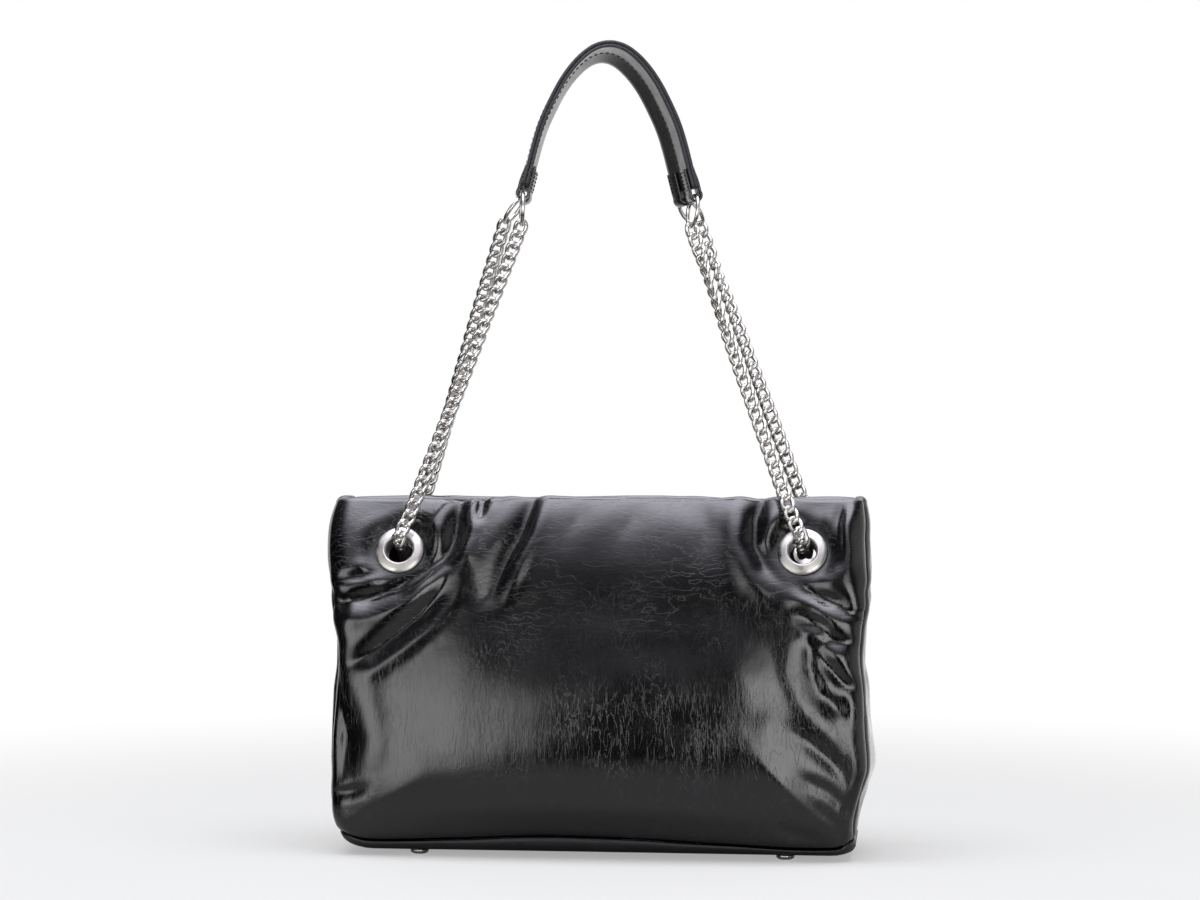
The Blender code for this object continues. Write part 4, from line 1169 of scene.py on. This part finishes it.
def make_base(leather, lining):
    """The leather base: a tray with a soft edge, drawn in at its seam, flat in the middle."""
    rings = []
    steps = 6
    outline = [(BASE_FLAT_INSET, BASE_CLEARANCE, 0.0)]
    for step in range(steps + 1):
        angle = math.pi / 2 * step / steps
        height = BASE_CLEARANCE + (BASE_EDGE_RADIUS - BASE_EDGE_DROP) * (1 - math.cos(angle))
        outline.append((BASE_DRAW_IN + BASE_EDGE_RADIUS * (1 - math.sin(angle)), height, step / steps))
    inner = [(inset + LEATHER * (0.6 if rise else 0.0), height + LEATHER * (1 - rise * 0.8), rise)
             for inset, height, rise in reversed(outline)]
    for inset, height, rise in outline + inner:
        ring = []
        for point, lift in base_outline(inset):
            ripple = BASE_RIPPLE * noise_at(point.x, point.y, BASE_WAVES, 3.0)
            ring.append(drifted(Vector((point.x, point.y, height + lift * rise ** 2 + ripple * rise))))
        rings.append(ring)
    add_piece(tube("base_leather", rings), leather, "bag", "base_panel", "base_board")
    cell = 5 * MM
    wide = half_width(SEAM_HEIGHT) - WALL_STACK - 2 * GAP
    deep = half_depth(SEAM_HEIGHT) - WALL_STACK - 2 * GAP
    columns, rows = round(2 * wide / cell), round(2 * deep / cell)
    grid = []
    for row in range(rows + 1):
        line = []
        for column in range(columns + 1):
            x, y = mix(-wide, wide, column / columns), mix(-deep, deep, row / rows)
            z = BASE_CLOTH_TOP + BASE_CLOTH_RIPPLE * noise_at(x, y, BASE_CLOTH_WAVES, 9.0)
            line.append((Vector((x, y, z)), Vector((x, y, z - BASE_CLOTH))))
        grid.append(line)
    cloth = add_piece(slab("base_lining_cloth", grid), lining, "bag", "base_lining")


# Metal pieces

def make_feet(look):
    under = BASE_CLEARANCE
    corners = [(0.0, 0.0), (FOOT_FLAT_RADIUS, 0.0), (FOOT_RADIUS * 0.93, under * 0.28),
               (FOOT_RADIUS, under * 0.62), (FOOT_RADIUS * 0.9, under * 0.95), (FOOT_RADIUS * 0.5, under),
               (0.0, under)]
    profile = round_profile(corners, 0.5 * MM, 3)
    for name, side, end in CORNERS:
        place = Matrix.Translation((FOOT_X * end, FOOT_Y * SIDES[side][1], 0.0))
        add_piece(lathe(f"foot_stud_{name}", profile, place, 40), look, "bag",
                  f"foot_{name}", f"foot_washer_{name}")


def make_eyelets(look):
    back = WALL_STACK + GAP + EYELET_WASHER
    bore = EYELET_BORE_RADIUS
    barrel = bore + EYELET_WALL
    rise = EYELET_DOME
    corners = [(bore, GAP + 0.1 * rise), (bore + 0.25 * MM, GAP + 0.72 * rise),
               (bore + 1.2 * MM, GAP + rise), (bore + 2.0 * MM, GAP + 0.93 * rise),
               (mix(bore, EYELET_RADIUS, 0.72), GAP + 0.66 * rise),
               (mix(bore, EYELET_RADIUS, 0.93), GAP + 0.34 * rise), (EYELET_RADIUS, GAP),
               (EYELET_RADIUS - 0.5 * MM, GAP - 0.25 * MM), (barrel, GAP), (barrel, -back - GAP),
               (bore, -back - GAP)]
    flange = round_profile(corners, 0.5 * MM, 3)
    corners = [(barrel + 0.1 * MM, EYELET_WASHER - back), (EYELET_WASHER_RADIUS, EYELET_WASHER - back),
               (EYELET_WASHER_RADIUS, 0.3 * MM - back), (barrel + 1.2 * MM, -back),
               (barrel + 0.1 * MM, -back)]
    washer = round_profile(corners, 0.25 * MM, 2)
    for name, side, end in CORNERS:
        place = place_on(*eyelet_place(side, end)[:2])
        add_piece(lathe(f"eyelet_flange_{name}", flange, place, 72), look, "bag", f"eyelet_{name}")
        add_piece(lathe(f"eyelet_back_{name}", washer, place, 56), look, "bag", f"eyelet_washer_{name}")


def make_snap(look):
    thick = SNAP_THICKNESS
    post = SNAP_POST_RADIUS
    recess = post + GAP
    rim = [(SNAP_RADIUS * 0.7, thick * 0.85), (SNAP_RADIUS * 0.78, thick * 0.92), (SNAP_RADIUS * 0.84, thick),
           (SNAP_RADIUS * 0.93, thick * 0.92), (SNAP_RADIUS, thick * 0.6), (SNAP_RADIUS, 0.0), (0.0, 0.0)]
    stud = [(0.0, thick + SNAP_POST), (post * 0.7, thick + SNAP_POST), (post, thick + SNAP_POST * 0.75),
            (post, thick * 0.85)]
    socket = [(0.0, thick * 0.25), (recess, thick * 0.25), (recess, thick * 0.9),
              (recess + 0.8 * MM, thick * 0.97)]
    for side, node, inner in (("front", "snap_stud", stud), ("rear", "snap_socket", socket)):
        point, normal = wall_frame(side, 0.0, SNAP_HEIGHT)[:2]
        place = place_on(point - normal * (WALL_STACK + GAP), -normal)
        profile = round_profile(inner + rim, 0.3 * MM, 2)
        add_piece(lathe(f"{node}_cap", profile, place, 56), look, "bag", node)


def make_rings(look):
    profile = circle(Vector((RING_RADIUS, 0)), Vector((1, 0)), Vector((0, 1)), RING_WIRE_RADIUS, 14)
    for name, side, end in CORNERS:
        centre, hang, axis = ring_place(side, end)
        mesh = lathe(f"ring_wire_{name}", profile, place_on(centre, axis, hang), 64)
        add_piece(mesh, look, f"ring_{name}_body", f"ring_{name}")


# Chain

LINK_WIRE = 1.28 * MM
LINK_HALF_WIDTH = 3.05 * MM
LINK_HALF_LENGTH = 4.68 * MM
LINK_TWIST = 1.3 * MM
LINK_STEPS = 18
WIRE_STEPS = 8
# How far a front chain leans toward the strap as it leaves its eyelet, for each part of its rise
CHAIN_LEAN = 0.5
# Turn of the links near the rings, which fades in and out again over a count of links
CHAIN_WINDING = {"left": 0.45, "right": 1.1}
WINDING_IN = 3.5
WINDING_OUT = (20, 6)
# How far the links sway and quiver about the chain's line, and the step from link to link
CHAIN_SWAY = (0.16, 0.55)
CHAIN_QUIVER = (0.06, 1.7)


def add_link(work, centre, ahead, across):
    """One twisted oval link in a mesh, its length along ahead and its flat towards the third axis."""
    ahead = ahead.normalized()
    across = (across - ahead * across.dot(ahead)).normalized()
    over = ahead.cross(across)

    def line(angle):
        return (centre + across * LINK_HALF_WIDTH * math.sin(angle)
                + ahead * LINK_HALF_LENGTH * math.cos(angle) + over * LINK_TWIST * math.sin(2 * angle))

    rings = []
    for step in range(LINK_STEPS):
        t = math.tau * step / LINK_STEPS
        here = line(t)
        tangent = (line(t + 0.05) - line(t - 0.05)).normalized()
        out = here - centre
        out = (out - tangent * out.dot(tangent)).normalized()
        rings.append(circle(here, out, tangent.cross(out), LINK_WIRE, WIRE_STEPS))
    add_tube(work, rings, loop=True)


def chain_route(end):
    """The whole chain of one end: front ring, front eyelet, inside, rear eyelet, rear ring."""
    runs, mouths, inside = {}, {}, []
    for side in LONG_SIDES:
        point, normal, up = eyelet_place(side, ENDS[end])
        mouth = point + normal * CHAIN_MOUTH + up * CHAIN_RISE
        start = mouth + normal * GAP
        turn = CHAIN_STAND_OFF - CHAIN_MOUTH
        centre, hang = ring_place(side, ENDS[end])[:2]
        top = centre + hang * (RING_RADIUS + RING_WIRE_RADIUS + CHAIN_RING_GAP)
        lean = Vector((-CHAIN_LEAN * ENDS[end], 0, 0)) if side == "front" else Vector()
        bend = [start + normal * turn * out + (up + lean) * turn * rise for out, rise in BEND_SHARES]
        rest = [bend[-1].lerp(top, share) for share in STRAND_SHARES]
        pull = (rest[-1] - top).normalized()
        hook = centre + hang * RING_RADIUS + pull * (LINK_HALF_LENGTH - LINK_WIRE - RING_WIRE_RADIUS)
        runs[side] = bend + rest + [hook]
        mouths[side] = mouth
        inside.append(point - normal * (WALL_STACK + OVERRUN) + up * CHAIN_RISE)
    middle = (inside[0] + inside[1]) / 2 - Vector((0, 0, CHAIN_SAG))
    points = [*reversed(runs["front"]), mouths["front"], inside[0], middle, inside[1], mouths["rear"],
              *runs["rear"]]
    return smooth_route(points, CHAIN_PITCH), mouths


def make_chains(look):
    for end in ENDS:
        route, mouths = chain_route(end)
        front_at, rear_at = (min(range(len(route)), key=lambda i: (route[i] - mouths[side]).length)
                             for side in LONG_SIDES)
        for place, first, last in (("front", 0, front_at), ("inside", front_at, rear_at + 1),
                                   ("rear", rear_at + 1, len(route))):
            node = f"chain_{place}_{end}"
            inside = place == "inside"
            work = bmesh.new()
            for index in range(first, last):
                before, after = route[max(index - 1, 0)], route[min(index + 1, len(route) - 1)]
                from_ring = index - first if place == "front" else last - 1 - index
                winding = smooth(0, WINDING_IN, from_ring) * smooth(*WINDING_OUT, from_ring)
                sway = CHAIN_SWAY[0] * math.sin(index * CHAIN_SWAY[1] + len(node))
                sway += CHAIN_QUIVER[0] * math.sin(index * CHAIN_QUIVER[1])
                sway += 0.0 if inside else CHAIN_WINDING[end] * winding
                across = Matrix.Rotation(sway, 3, (after - before).normalized()) @ ALONG_BAG
                add_link(work, route[index], after - before, across)
            piece = add_piece(finish_mesh(work, f"{node}_links"), look, "bag" if inside else None, node)
            if not inside:
                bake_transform(piece)


# Strap

# The rounded edge of a strap layer: share of its thickness, and how far it is drawn in
STRAP_EDGE = ((0.0, 0.6 * MM), (0.12, 0.22 * MM), (0.35, 0.0), (0.65, 0.0), (0.88, 0.22 * MM),
              (1.0, 0.6 * MM))
HALF_SHARES = (0.8, 0.5, 0.2, 0.07)
STRAP_STATION = 2.2 * MM
# Stitch pitch and thread radius of the seam along the strap and of those round the tabs
STRAP_STITCH = (3.4 * MM, 0.32 * MM)
TAB_STITCH = (2.2 * MM, 0.25 * MM)
# How deep each seam of the strap lies under the crease line, and -1 where it faces inward
STRAP_SEAMS = {"strap_seam_outer": (0.26 * MM, 1), "strap_seam_inner": (2 * STRAP_LAYER + 0.2 * MM, -1)}
# How far a tab's seam stays inside its edges: at the sides, the foot and the top
TAB_SEAM_INSETS = (1.5 * MM, 1.4 * MM, 1.3 * MM)
# The corners of a section that lie on its painted edges
EDGE_CORNERS = {0, 1, 2, 3, 4, 5, 14, 15, 16, 17, 18, 19}


def strap_section(point, outward, sink):
    """Outline of one strap layer, its edges rounded, sunk from the outer face by sink."""
    halves = strap_halves(outward)
    edge = [(STRAP_HALF_WIDTH - inset, sink + depth * STRAP_LAYER) for depth, inset in STRAP_EDGE]
    flat = [("front", share) for share in HALF_SHARES] + [("rear", share) for share in reversed(HALF_SHARES)]
    corners = [("front", *corner) for corner in edge]
    corners += [(side, STRAP_HALF_WIDTH * share, sink + STRAP_LAYER) for side, share in flat]
    corners += [("rear", *corner) for corner in reversed(edge)]
    corners += [(side, STRAP_HALF_WIDTH * share, sink) for side, share in reversed(flat)]
    return [strap_turned(point + halves[side][0] * out - halves[side][1] * depth)
            for side, out, depth in corners]


def make_strap(leather, paint, thread):
    stations = strap_stations(STRAP_STATION)
    for name, node, sink in (("strap_outer_leather", "strap_leather", 0.0),
                             ("strap_inner_leather", "strap_backing", STRAP_LAYER + GAP * 0.5)):
        rings = [strap_section(point, outward, sink) for point, outward, tangent in stations]
        mesh = tube(name, rings)
        add_piece(mesh, leather, "strap", node)
        mesh.materials.append(paint)
        for face in mesh.polygons:
            corners = {index % len(rings[0]) for index in face.vertices}
            if len(face.vertices) > 4 or corners <= EDGE_CORNERS:
                face.material_index = 1
    for name, (depth, way) in STRAP_SEAMS.items():
        points = [strap_turned(point - outward * depth) for point, outward, tangent in stations[3:-3]]
        normals = [strap_turned(outward) * way for point, outward, tangent in stations[3:-3]]
        stitches(name, points, normals, thread, *STRAP_STITCH)


# Outline of a tab's section in shares of its half width and half thickness. Its second half is the
# first one turned round.
TAB_SECTION = ((-1, 0.4), (-0.95, 0.85), (-0.85, 1), (0, 1), (0.85, 1), (0.95, 0.85), (1, 0.4))
TAB_SECTION += tuple((-across, -rise) for across, rise in TAB_SECTION)


def make_tabs(leather, thread):
    leg = STRAP_LAYER + GAP
    side_middle = leg + TAB_LEATHER / 2
    eye_middle = TAB_EYE_RADIUS + TAB_LEATHER / 2
    start = math.acos(min(1.0, side_middle / eye_middle))
    steps = 20
    # Across and rise from the eye's middle, share of the leg's length, and 1 on the outer leg
    path = [(side_middle, TAB_LENGTH * share, share, 1) for share in (1.0, 0.8, 0.6, 0.4, 0.25)]
    for step in range(steps + 1):
        angle = mix(start, -math.pi - start, step / steps)
        path.append((eye_middle * math.cos(angle), eye_middle * math.sin(angle), 0.0, 0))
    path += [(-side_middle, TAB_LENGTH * share, share, -1) for share in (0.25, 0.4, 0.6, 0.8, 0.97, 1.0)]
    for name, side, end in CORNERS:
        eye, along, lift, up = tab_frame(side, end)
        rings = []
        for index, (across, rise, share, way) in enumerate(path):
            before, after = path[max(index - 1, 0)], path[min(index + 1, len(path) - 1)]
            direction = (lift * (after[0] - before[0]) + up * (after[1] - before[1])).normalized()
            face = along.cross(direction).normalized()
            thick = TAB_LEATHER * (mix(1.0, 0.25, smooth(0.4, 1.0, share)) if way > 0 else 1.0)
            sink = (TAB_LEATHER - thick) / 2
            wide = TAB_WIDTH / 2 * mix(0.88, 1.0, smooth(-3 * MM, 6 * MM, rise))
            centre = eye + lift * (across - sink) + up * rise
            rings.append([centre + along * wide * w + face * thick / 2 * t for w, t in TAB_SECTION])
        add_piece(tube(f"tab_leather_{name}", rings), leather, "strap", f"tab_{name}")
        beside, below, above = TAB_SEAM_INSETS
        low, high = TAB_EYE_RADIUS + below, TAB_LENGTH - above
        half = TAB_WIDTH / 2 - beside
        flat = eye - lift * (leg + TAB_LEATHER)
        corners = [flat + up * rise + along * half * way
                   for rise, way in ((low, -1), (low, 1), (high, 1), (high, -1), (low, -1))]
        points = []
        for first, second in zip(corners, corners[1:]):
            points += [first.lerp(second, step / 6) for step in range(6)]
        points.append(corners[-1])
        stitches(f"tab_seam_{name}", points, [-lift] * len(points), thread, *TAB_STITCH)


# Build

# Mesh cell of the photographed wall and of the others
FRONT_CELL = 2.0 * MM
OTHER_CELL = 2.4 * MM


def build():
    make_camera()
    make_stage()
    panels = (crackled_leather("crackled_leather"), "black_leather")
    base = (smooth_leather("base_leather_finish", 0.45), "black_leather")
    strap = (smooth_leather("strap_leather_finish", 0.30, 1200.0, 0.7), "black_leather")
    paint = edge_paint("painted_edge")
    facing = (smooth_leather("facing_leather_finish", 0.4), "black_leather")
    lining = (woven_cloth("lining_weave", (0.035, 0.035, 0.04)), "lining_cloth")
    thread = (sewing_thread("black_thread", (0.03, 0.03, 0.033)), "black_leather")
    bright = (plated_metal("bright_nickel", 0.28, (0.74, 0.72, 0.695)), "nickel_plate")
    satin = (plated_metal("satin_nickel", 0.36, (0.56, 0.54, 0.515)), "nickel_plate")
    make_wall("front", panels, front_folds(), 1.0, FRONT_CELL, "front_panel", "front_padding")
    make_wall("rear", panels, plain_folds(REAR_FOLDS), 31.0, OTHER_CELL, "rear_panel", "rear_padding")
    make_wall("left", panels, plain_folds(END_FOLDS), 61.0, OTHER_CELL, "left_gusset", "left_padding")
    make_wall("right", panels, plain_folds(END_FOLDS, -1), 91.0, OTHER_CELL, "right_gusset", "right_padding")
    split = MOUTH_HEIGHT - FACING_HEIGHT
    for side in SIDES:
        make_inner(side, f"{side}_mouth_facing", split + GAP, MOUTH_HEIGHT - GAP, facing, 0.3 * MM,
                   f"{side}_facing")
        cloth = make_inner(side, f"{side}_cloth", SEAM_HEIGHT + GAP, split, lining, 1.2 * MM,
                           f"{side}_lining")
    make_base(base, lining)
    make_feet(bright)
    make_eyelets(satin)
    make_snap(satin)
    make_rings(bright)
    make_chains(bright)
    make_strap(strap, paint, thread)
    make_tabs(strap, thread)


build()
